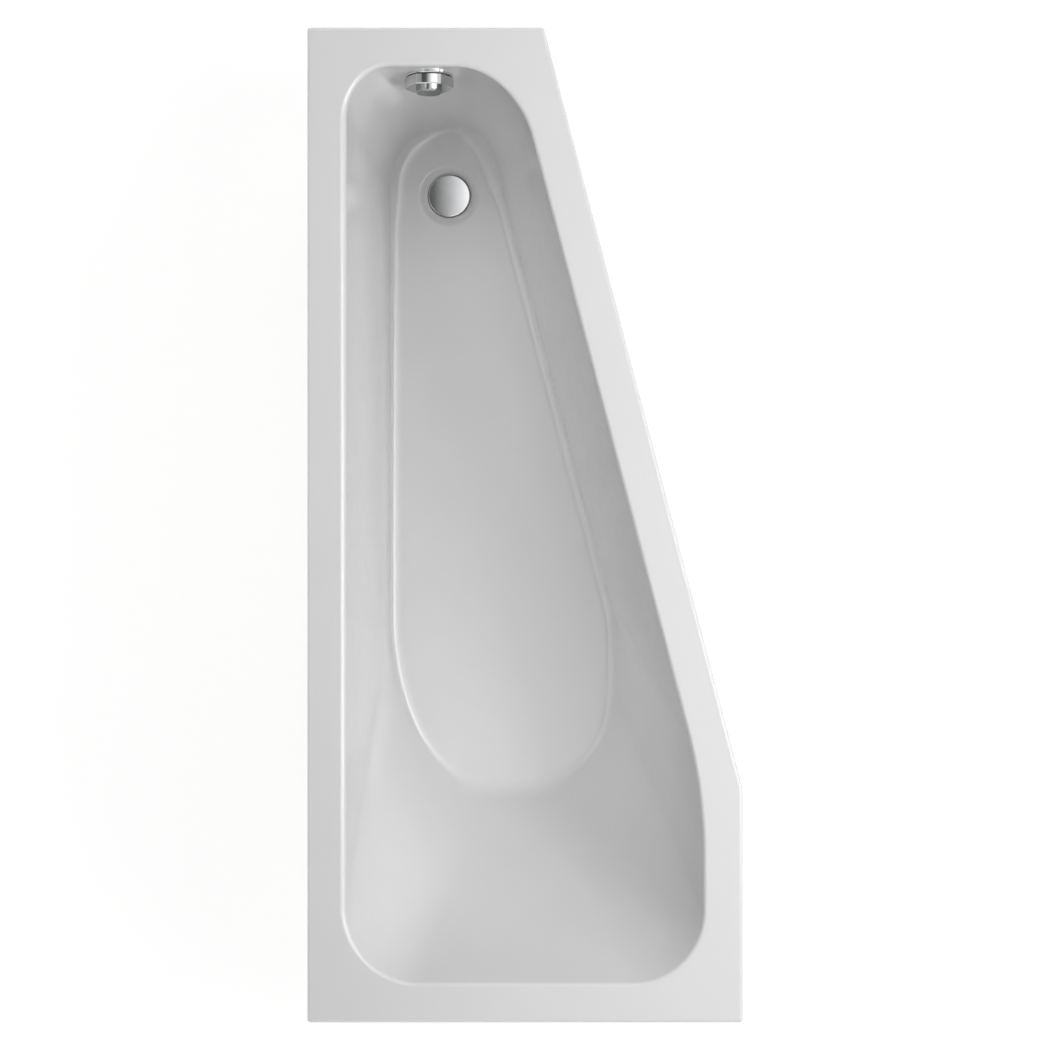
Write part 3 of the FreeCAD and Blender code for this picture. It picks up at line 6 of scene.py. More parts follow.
import bmesh
import bpy
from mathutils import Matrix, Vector


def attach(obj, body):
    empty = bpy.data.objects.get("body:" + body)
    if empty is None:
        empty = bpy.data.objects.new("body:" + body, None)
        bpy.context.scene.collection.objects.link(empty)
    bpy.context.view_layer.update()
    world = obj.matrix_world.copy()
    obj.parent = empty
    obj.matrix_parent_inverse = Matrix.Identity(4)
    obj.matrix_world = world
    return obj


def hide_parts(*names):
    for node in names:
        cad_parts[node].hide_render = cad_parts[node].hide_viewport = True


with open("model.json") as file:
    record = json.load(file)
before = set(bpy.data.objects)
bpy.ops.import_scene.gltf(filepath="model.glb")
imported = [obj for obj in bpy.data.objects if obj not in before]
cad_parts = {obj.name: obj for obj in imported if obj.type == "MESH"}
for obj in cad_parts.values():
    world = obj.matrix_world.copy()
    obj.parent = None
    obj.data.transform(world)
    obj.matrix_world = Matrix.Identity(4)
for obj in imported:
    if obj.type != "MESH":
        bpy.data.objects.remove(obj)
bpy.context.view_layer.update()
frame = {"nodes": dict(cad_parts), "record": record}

MM = 0.001

# Sizes of the tub, the same as in the CAD part
TUB_LENGTH = 1600 * MM
TUB_WIDTH = 700 * MM
NARROW_END_WIDTH = 380 * MM
WIDE_SIDE_LENGTH = 375 * MM
RIM_HEIGHT = 580 * MM
RIM_WIDTH = 62 * MM
SKIRT_HEIGHT = 40 * MM
SHEET = 5 * MM
OUTER_CORNER_RADIUS = 6 * MM
OUTER_BEND_RADIUS = 20 * MM
BASIN_DEPTH = 420 * MM
BASIN_FLOOR = RIM_HEIGHT - BASIN_DEPTH
FLOOR_EDGE_RADIUS = 12 * MM
DRAIN = Vector((-132 * MM, 573 * MM))
DISH_RADIUS = 54 * MM
DISH_FLOOR_RADIUS = 40 * MM
DISH_DEPTH = 5 * MM
WASTE_HOLE_RADIUS = 26 * MM
WASTE_HOLE_EDGE = 1 * MM
WASTE_BOSS_RADIUS = 60 * MM
OVERFLOW_X = -156 * MM
OVERFLOW_DEPTH = 62 * MM
OVERFLOW_HOLE_RADIUS = 26 * MM

# Edges and holes that only the scene's shell has in this form
RIM_EDGE_RADIUS = 5.4 * MM
SKIRT_EDGE_RADIUS = 1 * MM
OVERFLOW_CUT_LENGTH = 40 * MM

# The five sides in turn, counter-clockwise from above: left, head, right, slanted and drain end
SLANT_RUN = TUB_WIDTH - NARROW_END_WIDTH
SLANT_RISE = TUB_LENGTH - WIDE_SIDE_LENGTH
SLANT_TURN = math.atan2(SLANT_RUN, SLANT_RISE)
SLANT_NORMAL = Vector((math.cos(SLANT_TURN), math.sin(SLANT_TURN)))
SLANT_SIDE = SLANT_NORMAL.dot(Vector((NARROW_END_WIDTH - TUB_WIDTH / 2, TUB_LENGTH / 2)))
SIDE_ANGLES = (math.pi, math.pi * 3 / 2, math.pi * 2, math.pi * 2 + SLANT_TURN, math.pi * 5 / 2)
OUTER_SIDES = (TUB_WIDTH / 2, TUB_LENGTH / 2, TUB_WIDTH / 2, SLANT_SIDE, TUB_LENGTH / 2)
WALL_RUNS = (55 * MM, 283 * MM, 135 * MM, 61 * MM, 46 * MM)
MOUTH_SIDES = tuple(side - RIM_WIDTH for side in OUTER_SIDES)
FLOOR_SIDES = tuple(side - run for side, run in zip(MOUTH_SIDES, WALL_RUNS))

# Corner radii of the rim, the mouth and the floor. A pair is the reach of a corner along its two sides
OUTER_RADII = (OUTER_CORNER_RADIUS, OUTER_CORNER_RADIUS, OUTER_BEND_RADIUS)
OUTER_RADII += (OUTER_CORNER_RADIUS, OUTER_CORNER_RADIUS)
MOUTH_RADII = (117 * MM, 117 * MM, 800 * MM, (122 * MM, 97 * MM), (72 * MM, 82 * MM))
FLOOR_RADII = ((310 * MM, 170 * MM), (155 * MM, 170 * MM), 250 * MM, (70 * MM, 50 * MM), 108 * MM)
BACK_MOUTH_RADII = (117 * MM, 117 * MM, 800 * MM, 120 * MM, 80 * MM)
BACK_FLOOR_RADII = (205 * MM, 161 * MM, 250 * MM, 61 * MM, 108 * MM)

# Radius of the hollow between the walls and the floor: at the start, along and at the end of each side,
# and in the middle of the corner after it. The ends of a side ease into its own radius over a share of it
FILLET_AT_SIDES = (
    (16 * MM, 9 * MM, 9 * MM),
    (80 * MM, 80 * MM, 80 * MM),
    (12 * MM, 11 * MM, 11 * MM),
    (11 * MM, 11 * MM, 24 * MM),
    (10 * MM, 10 * MM, 10 * MM),
)
FILLET_AT_CORNERS = (14 * MM, 15 * MM, 11 * MM, 25 * MM, 18 * MM)
# How many times further the hollow reaches along the floor than up the wall, in the same places
STRETCH_AT_SIDES = ((1.8, 2.2, 2.2), (1, 1, 1), (1.8, 1.8, 1.8), (1.8, 1.8, 1.4), (1, 1, 1))
STRETCH_AT_CORNERS = (2, 1.6, 1.8, 1.2, 1.5)
# Radius of the lip between the rim and the walls, in the same places
LIP_AT_SIDES = (
    (11 * MM, 11 * MM, 11 * MM),
    (9 * MM, 9 * MM, 9 * MM),
    (6 * MM, 6 * MM, 6 * MM),
    (6 * MM, 6 * MM, 6 * MM),
    (7 * MM, 7 * MM, 7 * MM),
)
LIP_AT_CORNERS = (10 * MM, 7.5 * MM, 6 * MM, 6.5 * MM, 9 * MM)
EASE_SHARE = 0.1

# How finely the shell is divided
SIDE_COLUMNS = (60, 26, 18, 60, 14)
CORNER_COLUMNS = 30
EDGE_ROWS = 8
LIP_ROWS = 12
FILLET_ROWS = 14
WALL_ROWS = 36
DISH_ROWS = 12
RIM_SHARES = (0.03, 0.2, 0.4, 0.6, 0.8, 0.97)
FLOOR_SHARES = (0.015, 0.06, 0.15, 0.3, 0.45, 0.6, 0.75, 0.88, 0.97)
HOLD_SHARES = (0.004, 0.012)
CUTTER_SIDES = 72
# Below this share, a term of the corner's equation counts as nothing
NOTHING_SHARE = 1e-9


# Mesh helpers

def smooth(share):
    """A share from 0 to 1, eased at both ends."""
    return share * share * (3 - 2 * share)


def shares(count):
    """Even shares from 0 to 1, both included."""
    return [i / count for i in range(count + 1)]


def new_object(name, data):
    """An object that puts some data into the scene."""
    holder = bpy.data.objects.new(name, data)
    bpy.context.collection.objects.link(holder)
    return holder


def new_mesh(name, points, faces):
    """A mesh whose faces all look outwards."""
    mesh = bpy.data.meshes.new(name)
    mesh.from_pydata(points, [], faces)
    form = bmesh.new()
    form.from_mesh(mesh)
    bmesh.ops.recalc_face_normals(form, faces=form.faces)
    form.to_mesh(mesh)
    form.free()
    return mesh


def evaluated_mesh(holder):
    """A new mesh of an object as its modifiers or its curve shape it."""
    bpy.context.view_layer.update()
    shaped = holder.evaluated_get(bpy.context.evaluated_depsgraph_get())
    return bpy.data.meshes.new_from_object(shaped)


def new_piece(name, points, faces, body):
    """A smooth-shaded mesh piece that rides on a body."""
    mesh = new_mesh(name, points, faces)
    mesh.shade_smooth()
    piece = new_object(name, mesh)
    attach(piece, body)
    return piece


def ring_faces(row_count, column_count):
    """Quads between rows of points that each run round, with the last row joined to the first."""
    faces = []
    for row in range(row_count):
        for column in range(column_count):
            following = (row + 1) % row_count
            beside = (column + 1) % column_count
            corners = ((row, column), (row, beside), (following, beside), (following, column))
            faces.append([r * column_count + c for r, c in corners])
    return faces


def turned_faces(row_count, column_count):
    """Faces of a closed form whose rows of points run round, with its first and last row capped."""
    faces = ring_faces(row_count, column_count)[:-column_count]
    faces.append(list(range(column_count)))
    faces.append(list(range((row_count - 1) * column_count, row_count * column_count)))
    return faces


def all_points(rows):
    """The points of all rows in turn."""
    return [point for row in rows for point in row]


def normal_at(angle):
    """The direction in plan at an angle from +X."""
    return Vector((math.cos(angle), math.sin(angle)))


def round_angles(count):
    """Even angles all the way round."""
    return [2 * math.pi * i / count for i in range(count)]


def turned_points(middle, profile, sides):
    """The points of a profile of radii and heights, turned round an upright axis."""
    spokes = [normal_at(angle) for angle in round_angles(sides)]
    return [(*(middle.xy + spoke * radius), z) for radius, z in profile for spoke in spokes]


def upright_sizes(node):
    """The middle, the bottom, the top and the radius of an upright round CAD node."""
    box = [Vector(corner) for corner in frame["nodes"][node].bound_box]
    middle = sum(box, Vector()) / len(box)
    heights = [corner.z for corner in box]
    return middle, min(heights), max(heights), max(corner.x for corner in box) - middle.x


# Tub shell

def corner_reach(size, turn):
    """How far a corner reaches along the sides before and after it."""
    if isinstance(size, tuple):
        return size
    reach = size * math.tan(turn / 2)
    return reach, reach


def corner_place(start, vertex, end, turn, angle):
    """The point of a conic corner where its direction has turned by an angle."""
    weight = math.cos(turn / 2)
    before = (vertex - start).length * math.sin(angle)
    after = (end - vertex).length * math.sin(turn - angle)
    square = (before - after) * (1 - weight)
    linear = after - before * (1 - 2 * weight)
    rest = -before * weight
    if abs(square) < abs(linear) * NOTHING_SHARE:
        t = -rest / linear
    else:
        t = (math.sqrt(linear * linear - 4 * square * rest) - linear) / (2 * square)
    parts = ((1 - t) ** 2, 2 * weight * t * (1 - t), t ** 2)
    mixed = start * parts[0] + vertex * parts[1] + end * parts[2]
    return mixed / sum(parts)


def outline(sides, radii):
    """The plan points of an outline, the same columns for every outline of the tub."""
    count = len(sides)
    starts, vertices, ends, turns = [], [], [], []
    for i in range(count):
        angle = SIDE_ANGLES[i]
        turn = (SIDE_ANGLES[(i + 1) % count] - angle) % (2 * math.pi)
        normal, following = normal_at(angle), normal_at(angle + turn)
        along = (sides[(i + 1) % count] - sides[i] * math.cos(turn)) / math.sin(turn)
        vertex = normal * sides[i] + Vector((-normal.y, normal.x)) * along
        reach = corner_reach(radii[i], turn)
        starts.append(vertex - Vector((-normal.y, normal.x)) * reach[0])
        vertices.append(vertex)
        ends.append(vertex + Vector((-following.y, following.x)) * reach[1])
        turns.append(turn)
    points = []
    for i in range(count):
        for share in shares(SIDE_COLUMNS[i] + 1)[1:-1]:
            points.append(ends[i - 1].lerp(starts[i], share))
        for share in shares(CORNER_COLUMNS):
            points.append(corner_place(starts[i], vertices[i], ends[i], turns[i], turns[i] * share))
    return points


def along_outline(at_sides, at_corners):
    """A number for every column: eased along each side from its start to its end, and through each corner."""
    numbers = []
    for i, (start, own, end) in enumerate(at_sides):
        for share in shares(SIDE_COLUMNS[i] + 1)[1:-1]:
            leaving = 1 - smooth(min(1, share / EASE_SHARE))
            coming = 1 - smooth(min(1, (1 - share) / EASE_SHARE))
            numbers.append(own + (start - own) * leaving + (end - own) * coming)
        following = at_sides[(i + 1) % len(at_sides)][0]
        for share in shares(CORNER_COLUMNS):
            first = end + (at_corners[i] - end) * smooth(min(1, share * 2))
            numbers.append(first + (following - at_corners[i]) * smooth(max(0, share * 2 - 1)))
    return numbers


def outline_normals():
    """The outward direction in plan at every column."""
    normals = []
    for i, angle in enumerate(SIDE_ANGLES):
        turn = (SIDE_ANGLES[(i + 1) % len(SIDE_ANGLES)] - angle) % (2 * math.pi)
        normals += [normal_at(angle)] * SIDE_COLUMNS[i]
        normals += [normal_at(angle + turn * share) for share in shares(CORNER_COLUMNS)]
    return normals


def at_height(places, z):
    """Plan points put at one height."""
    return [Vector((place.x, place.y, z)) for place in places]


def between(first, second, parts):
    """Rows between two rows of points, at the given shares of the way."""
    return [[a.lerp(b, part) for a, b in zip(first, second)] for part in parts]


def slopes_of(mouth, floor, normals, depth):
    """The angle of the wall from level at every column."""
    return [math.atan2(depth, (m - f).dot(n)) for m, f, n in zip(mouth, floor, normals)]


def arc_row(places, normals, offsets, heights):
    """Plan points moved out along their directions and put at their own heights."""
    moved = [place + normal * offset for place, normal, offset in zip(places, normals, offsets)]
    return [Vector((place.x, place.y, z)) for place, z in zip(moved, heights)]


def hollow_rows(floor, normals, slopes, radii, stretches, floor_level):
    """The rows of the hollow between the walls and the floor, from the wall inwards."""
    corners = []
    for slope, radius, stretch in zip(slopes, radii, stretches):
        reach = radius * math.tan(slope / 2)
        on_wall = Vector((math.cos(slope), math.sin(slope))) * reach
        corners.append((Vector((-reach * stretch, 0)), Vector((0, 0)), on_wall, slope))
    rows = []
    for share in reversed(shares(FILLET_ROWS)):
        places = [corner_place(*corner, corner[-1] * share) for corner in corners]
        heights = [floor_level + place.y for place in places]
        rows.append(arc_row(floor, normals, [place.x for place in places], heights))
    return rows


def circle_row(rays, radius, z):
    """A row on a circle round the drain, one point on every ray."""
    return at_height([DRAIN + ray * radius for ray in rays], z)


def drain_rays(row):
    """The direction in plan from the drain to each point of a row."""
    return [(point.xy - DRAIN).normalized() for point in row]


def shell_front(rim, mouth, floor, normals):
    """The rows of the side that shows, from the skirt's bottom over the rim and down to the waste hole."""
    skirt_bottom = RIM_HEIGHT - SKIRT_HEIGHT
    inset = [place - normal * SKIRT_EDGE_RADIUS for place, normal in zip(rim, normals)]
    rows = [at_height(inset, skirt_bottom), at_height(rim, skirt_bottom + SKIRT_EDGE_RADIUS)]
    for share in shares(EDGE_ROWS):
        turn = math.pi / 2 * share
        offset = RIM_EDGE_RADIUS * (math.cos(turn) - 1)
        height = RIM_HEIGHT + RIM_EDGE_RADIUS * (math.sin(turn) - 1)
        rows.append(at_height([p + n * offset for p, n in zip(rim, normals)], height))
    slopes = slopes_of(mouth, floor, normals, BASIN_DEPTH)
    lips = along_outline(LIP_AT_SIDES, LIP_AT_CORNERS)
    lip = []
    for share in shares(LIP_ROWS):
        angles = [slope * share for slope in slopes]
        offsets = [r * (math.tan(s / 2) - math.sin(a)) for r, a, s in zip(lips, angles, slopes)]
        heights = [RIM_HEIGHT + r * (math.cos(a) - 1) for r, a in zip(lips, angles)]
        lip.append(arc_row(mouth, normals, offsets, heights))
    rows += between(rows[-1], lip[0], RIM_SHARES) + lip
    fillets = along_outline(FILLET_AT_SIDES, FILLET_AT_CORNERS)
    stretches = along_outline(STRETCH_AT_SIDES, STRETCH_AT_CORNERS)
    hollow = hollow_rows(floor, normals, slopes, fillets, stretches, BASIN_FLOOR)
    wall = list(HOLD_SHARES) + shares(WALL_ROWS)[1:-1] + [1 - share for share in reversed(HOLD_SHARES)]
    rows += between(lip[-1], hollow[0], wall) + hollow
    rays = drain_rays(hollow[-1])
    dish_edge = circle_row(rays, DISH_RADIUS, BASIN_FLOOR)
    rows += between(hollow[-1], dish_edge, FLOOR_SHARES)
    for share in shares(DISH_ROWS):
        radius = DISH_RADIUS + (DISH_FLOOR_RADIUS - DISH_RADIUS) * share
        rows.append(circle_row(rays, radius, BASIN_FLOOR - DISH_DEPTH * smooth(share)))
    dish_floor = BASIN_FLOOR - DISH_DEPTH
    rows.append(circle_row(rays, WASTE_HOLE_RADIUS + WASTE_HOLE_EDGE, dish_floor))
    rows.append(circle_row(rays, WASTE_HOLE_RADIUS, dish_floor - WASTE_HOLE_EDGE))
    return rows


def shell_back(rim, mouth, floor, normals):
    """The rows of the hidden side, from the waste hole's lower edge back to the skirt's bottom."""
    rim_underside = RIM_HEIGHT - SHEET
    underside = BASIN_FLOOR - SHEET
    depth = BASIN_DEPTH + SHEET
    slopes = slopes_of(mouth, floor, normals, depth)
    radii = [FLOOR_EDGE_RADIUS + SHEET] * len(normals)
    hollow = hollow_rows(floor, normals, slopes, radii, [1] * len(normals), underside)
    rays = drain_rays(hollow[-1])
    boss_underside = underside - DISH_DEPTH
    rows = [circle_row(rays, radius, boss_underside) for radius in (WASTE_HOLE_RADIUS, WASTE_BOSS_RADIUS)]
    rows.append(circle_row(rays, WASTE_BOSS_RADIUS, underside))
    rows += between(rows[-1], hollow[-1], FLOOR_SHARES) + list(reversed(hollow))
    top = [m.lerp(f, SHEET / depth) for m, f in zip(mouth, floor)]
    rows += between(hollow[0], at_height(top, rim_underside), shares(WALL_ROWS)[1:])
    inside = [place - normal * SHEET for place, normal in zip(rim, normals)]
    rows += between(rows[-1], at_height(inside, rim_underside), RIM_SHARES)
    rows.append(at_height(inside, rim_underside))
    rows.append(at_height(inside, RIM_HEIGHT - SKIRT_HEIGHT))
    return rows


def overflow_cutter():
    """A round bar on the overflow's axis, square to the narrow end wall."""
    wall_run = WALL_RUNS[-1]
    middle_y = MOUTH_SIDES[-1] - wall_run * OVERFLOW_DEPTH / BASIN_DEPTH
    middle = Vector((OVERFLOW_X, middle_y, RIM_HEIGHT - OVERFLOW_DEPTH))
    axis = Vector((0, -BASIN_DEPTH, wall_run)).normalized()
    side = Vector((1, 0, 0))
    across = axis.cross(side)
    points = []
    for end in (-OVERFLOW_CUT_LENGTH / 2, OVERFLOW_CUT_LENGTH / 2):
        for turn in round_angles(CUTTER_SIDES):
            spoke = side * math.cos(turn) + across * math.sin(turn)
            points.append(middle + axis * end + spoke * OVERFLOW_HOLE_RADIUS)
    return new_object("overflow_cutter", new_mesh("overflow_cutter", points, turned_faces(2, CUTTER_SIDES)))


def cut_away(piece, cutter):
    """Takes the cutter's form out of a piece and removes the cutter."""
    step = piece.modifiers.new("hole", "BOOLEAN")
    step.operation = "DIFFERENCE"
    step.solver = "EXACT"
    step.object = cutter
    cut = evaluated_mesh(piece)
    piece.modifiers.remove(step)
    piece.data = cut
    cut.shade_smooth()
    bpy.data.objects.remove(cutter)


def tub_shell():
    """The acrylic shell as one closed sheet, with its waste and overflow holes."""
    normals = outline_normals()
    rim = outline(OUTER_SIDES, OUTER_RADII)
    mouth = outline(MOUTH_SIDES, MOUTH_RADII)
    floor = outline(FLOOR_SIDES, FLOOR_RADII)
    back_mouth_sides = [side + SHEET for side in MOUTH_SIDES]
    back_floor_sides = [side + SHEET * (1 - run / BASIN_DEPTH) for side, run in zip(FLOOR_SIDES, WALL_RUNS)]
    back_mouth = outline(back_mouth_sides, [radius + SHEET for radius in BACK_MOUTH_RADII])
    back_floor = outline(back_floor_sides, [radius + SHEET for radius in BACK_FLOOR_RADII])
    rows = shell_front(rim, mouth, floor, normals) + shell_back(rim, back_mouth, back_floor, normals)
    piece = new_piece("tub", all_points(rows), ring_faces(len(rows), len(normals)), "tub")
    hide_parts("tub_shell")
    cut_away(piece, overflow_cutter())
    return piece


# Hose and control cable, along the routes of the CAD part with the points that a smooth line needs.
# The routes are in millimetres

HOSE_ROUTE = (
    (-142, 757.33, 462.83),
    (-142, 728.1, 196),
    (-142, 719.51, 117.5),
    (-132, 641, 117.5),
    (-132, 609, 117.5),
)
HOSE_CREST = 16 * MM
HOSE_GROOVE_DEPTH = 2 * MM
HOSE_BORE = 13.1 * MM
HOSE_CUFF = 22 * MM
HOSE_RIB_PITCH = 8 * MM
HOSE_ROWS_PER_RIB = 10
HOSE_SIDES = 40
HOSE_EDGE = 0.8 * MM
CABLE_ROUTE = (
    (-167.25, 761.40, 472.44),
    (-167.25, 728.2, 170),
    (-167.25, 712.61, 27),
    (-145.2, 625.4, 27),
    (-132, 573, 27),
    (-132, 573, 81),
)
CABLE_RADIUS = 3 * MM
CABLE_BORE = 1.6 * MM
CABLE_EDGE = 0.4 * MM
CABLE_STEP = 4 * MM
CABLE_SIDES = 20
ROUTE_FINENESS = 48
ROUTE_ORDER = 3


def smooth_line(name, route):
    """Points along a smooth line through a route, as a NURBS curve gives them."""
    curve = bpy.data.curves.new(name, "CURVE")
    curve.dimensions = "3D"
    curve.resolution_u = ROUTE_FINENESS
    spline = curve.splines.new("NURBS")
    spline.points.add(len(route) - 1)
    for point, place in zip(spline.points, route):
        point.co = (place[0] * MM, place[1] * MM, place[2] * MM, 1)
    spline.order_u = ROUTE_ORDER
    spline.use_endpoint_u = True
    holder = new_object(name, curve)
    line = evaluated_mesh(holder)
    places = [vertex.co.copy() for vertex in line.vertices]
    bpy.data.objects.remove(holder)
    bpy.data.curves.remove(curve)
    bpy.data.meshes.remove(line)
    return places


def walk(places, distances):
    """Places and directions at the given distances along a line."""
    found = []
    passed = 0
    step = 0
    for distance in distances:
        stretch = places[step + 1] - places[step]
        while distance > passed + stretch.length and step < len(places) - 2:
            passed += stretch.length
            step += 1
            stretch = places[step + 1] - places[step]
        share = min(1, (distance - passed) / stretch.length)
        found.append((places[step] + stretch * share, stretch.normalized()))
    return found


def line_length(places):
    """The length of a line of points."""
    return sum((second - first).length for first, second in zip(places, places[1:]))


def tube(name, places, steps, bore, sides, node):
    """A hollow tube along a line. Each step is a distance along it and the tube's radius there."""
    found = walk(places, [distance for distance, _ in steps])
    across = Vector((1, 0, 0))
    outer, inner = [], []
    for (place, along), (_, radius) in zip(found, steps):
        across = (across - along * across.dot(along)).normalized()
        beside = along.cross(across)
        spokes = [across * math.cos(turn) + beside * math.sin(turn) for turn in round_angles(sides)]
        outer.append([place + spoke * radius for spoke in spokes])
        inner.append([place + spoke * bore for spoke in spokes])
    rows = outer + list(reversed(inner))
    piece = new_piece(name, all_points(rows), ring_faces(len(rows), sides), "tub")
    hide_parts(node)
    return piece


def overflow_hose():
    """The ribbed hose with a plain cuff at each end."""
    places = smooth_line("hose_line", HOSE_ROUTE)
    length = line_length(places)
    rib_count = int((length - 2 * HOSE_CUFF) / HOSE_RIB_PITCH)
    pitch = (length - 2 * HOSE_CUFF) / rib_count
    steps = [(0, HOSE_CREST - HOSE_EDGE), (HOSE_EDGE, HOSE_CREST), (HOSE_CUFF - HOSE_EDGE, HOSE_CREST)]
    for i in range(rib_count * HOSE_ROWS_PER_RIB + 1):
        ribs = i / HOSE_ROWS_PER_RIB
        dip = (1 - math.cos(2 * math.pi * ribs)) / 2
        steps.append((HOSE_CUFF + pitch * ribs, HOSE_CREST - HOSE_GROOVE_DEPTH * smooth(dip)))
    steps += [(length - HOSE_CUFF + HOSE_EDGE, HOSE_CREST), (length - HOSE_EDGE, HOSE_CREST)]
    steps.append((length, HOSE_CREST - HOSE_EDGE))
    return tube("ribbed_hose", places, steps, HOSE_BORE, HOSE_SIDES, "overflow_hose")


def control_cable():
    """The cable's outer sheath."""
    places = smooth_line("cable_line", CABLE_ROUTE)
    length = line_length(places)
    count = int(length / CABLE_STEP)
    steps = [(0, CABLE_RADIUS - CABLE_EDGE)]
    steps += [(CABLE_EDGE + (length - 2 * CABLE_EDGE) * share, CABLE_RADIUS) for share in shares(count)]
    steps.append((length, CABLE_RADIUS - CABLE_EDGE))
    return tube("cable_sheath", places, steps, CABLE_BORE, CABLE_SIDES, "control_cable")


# Threaded studs of the four legs, in the place of the plain rods of the CAD part

LEGS = ("drain_left_leg", "drain_right_leg", "head_left_leg", "head_right_leg")
THREAD_PITCH = 1.75 * MM
THREAD_DEPTH = 1 * MM
THREAD_SIDES = 24
THREAD_ROWS_PER_TURN = 8
STUD_POINT = 1.5 * MM


def threaded_stud(leg):
    """A stud with a helical thread, as long and as thick as the leg's plain rod."""
    node = f"{leg}_stud"
    middle, bottom, top, crest = upright_sizes(node)
    row_count = round((top - bottom) / THREAD_PITCH * THREAD_ROWS_PER_TURN)
    points = []
    for row in range(row_count + 1):
        z = bottom + (top - bottom) * row / row_count
        end_cut = max(0, STUD_POINT - min(z - bottom, top - z))
        for side, angle in enumerate(round_angles(THREAD_SIDES)):
            turn = (row / THREAD_ROWS_PER_TURN - side / THREAD_SIDES) % 1
            radius = min(crest - THREAD_DEPTH * abs(2 * turn - 1), crest - end_cut)
            points.append((*(middle.xy + normal_at(angle) * radius), z))
    faces = turned_faces(row_count + 1, THREAD_SIDES)
    piece = new_piece(f"{leg}_threaded_stud", points, faces, leg)
    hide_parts(node)
    return piece


# Cover of the plug, nearly flat with a rolled edge, and the seal under it, whose dark lip past the cover's
# edge is a painted shadow of the gap round the plug

PLUG_CROWN = 0.9 * MM
PLUG_ROLL = 2 * MM
PLUG_FOOT = 0.3 * MM
PLUG_ROLL_ROWS = 12
PLUG_CROWN_ROWS = 24
PLUG_SIDES = 120
# The dark rubber lip reaches this far past the cover, as a painted shadow round the plug
SEAL_SHADOW_LIP = 0.9 * MM
SEAL_BORE_RADIUS = 23.5 * MM
SEAL_EDGE = 0.3 * MM


def plug_cap():
    """The chrome cover, as wide and as high as the CAD part's and rolled over at its edge."""
    middle, bottom, top, radius = upright_sizes("plug_cover")
    dome = (radius ** 2 + PLUG_CROWN ** 2) / (2 * PLUG_CROWN)
    roll_out = radius - PLUG_ROLL
    roll_up = top - dome + math.sqrt((dome - PLUG_ROLL) ** 2 - roll_out ** 2)
    tilt = math.asin(roll_out / (dome - PLUG_ROLL))
    profile = [(radius - PLUG_FOOT, bottom), (radius, bottom + PLUG_FOOT)]
    for share in shares(PLUG_ROLL_ROWS):
        rise = (math.pi / 2 - tilt) * share
        profile.append((roll_out + PLUG_ROLL * math.cos(rise), roll_up + PLUG_ROLL * math.sin(rise)))
    for share in shares(PLUG_CROWN_ROWS)[1:-1]:
        lean = tilt * (1 - share)
        profile.append((dome * math.sin(lean), top - dome + dome * math.cos(lean)))
    faces = turned_faces(len(profile), PLUG_SIDES)
    points = turned_points(middle, profile, PLUG_SIDES)
    piece = new_piece("plug_cap", points, faces, "plug")
    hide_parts("plug_cover")
    return piece


def plug_lip_seal():
    """The rubber ring under the cover, whose lip reaches past the cover and shows as a dark line round it: a
    painted shadow of the gap under the plug's edge.
    """
    middle, bottom, top, _ = upright_sizes("plug_seal")
    outer = upright_sizes("plug_cover")[-1] + SEAL_SHADOW_LIP
    bevel = outer - SEAL_EDGE
    profile = ((outer, bottom + SEAL_EDGE), (outer, top - SEAL_EDGE), (bevel, top))
    profile += ((SEAL_BORE_RADIUS, top), (SEAL_BORE_RADIUS, bottom), (bevel, bottom))
    faces = ring_faces(len(profile), PLUG_SIDES)
    points = turned_points(middle, profile, PLUG_SIDES)
    piece = new_piece("plug_lip_seal", points, faces, "plug")
    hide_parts("plug_seal")
    return piece


# Material helpers

# Places of a mix node's factor and two colours among its inputs, and of the mixed colour among its outputs
MIX_INPUTS = (0, 6, 7)
MIX_RESULT = 2
# The range that most of a soft noise lies in
NOISE_SPAN = (0.3, 0.7)
WARP_DETAIL = 2
# How many grains of a moulded finish lie across one cloud of its tone
CLOUD_GRAINS = 12
PLASTIC_IOR = 1.5


def new_material(name):
    """A material with a Principled shader, its node tree and that shader."""
    material = bpy.data.materials.new(name)
    material.use_nodes = True
    return material, material.node_tree, material.node_tree.nodes["Principled BSDF"]


def add_node(tree, kind, values=(), **settings):
    """A node with its settings and the values of its unlinked sockets."""
    node = tree.nodes.new(kind)
    for key, setting in settings.items():
        setattr(node, key, setting)
    for key, number in dict(values).items():
        node.inputs[key].default_value = number
    return node


def object_place(tree, stretch=(1, 1, 1), turn=(0, 0, 0)):
    """The place on the part, turned and stretched, as a texture's coordinates."""
    where = add_node(tree, "ShaderNodeTexCoord")
    turned = add_node(tree, "ShaderNodeMapping", {"Rotation": turn})
    scaled = add_node(tree, "ShaderNodeMapping", {"Scale": stretch})
    tree.links.new(where.outputs["Object"], turned.inputs["Vector"])
    tree.links.new(turned.outputs["Vector"], scaled.inputs["Vector"])
    return scaled.outputs["Vector"]


def noise(tree, place, scale, detail=4, roughness=0.55, distortion=0):
    """A soft noise from 0 to 1."""
    values = {"Scale": scale, "Detail": detail, "Roughness": roughness, "Distortion": distortion}
    node = add_node(tree, "ShaderNodeTexNoise", values)
    tree.links.new(place, node.inputs["Vector"])
    return node.outputs["Fac"]


def warped(tree, place, amount, scale):
    """Texture coordinates that a soft noise pushes about."""
    node = add_node(tree, "ShaderNodeTexNoise", {"Scale": scale, "Detail": WARP_DETAIL})
    tree.links.new(place, node.inputs["Vector"])
    return mixed(tree, amount, place, node.outputs["Color"], "ADD")


def cells(tree, place, scale):
    """Random cells, each with a colour of its own."""
    node = add_node(tree, "ShaderNodeTexVoronoi", {"Scale": scale})
    tree.links.new(place, node.inputs["Vector"])
    return node.outputs["Color"]


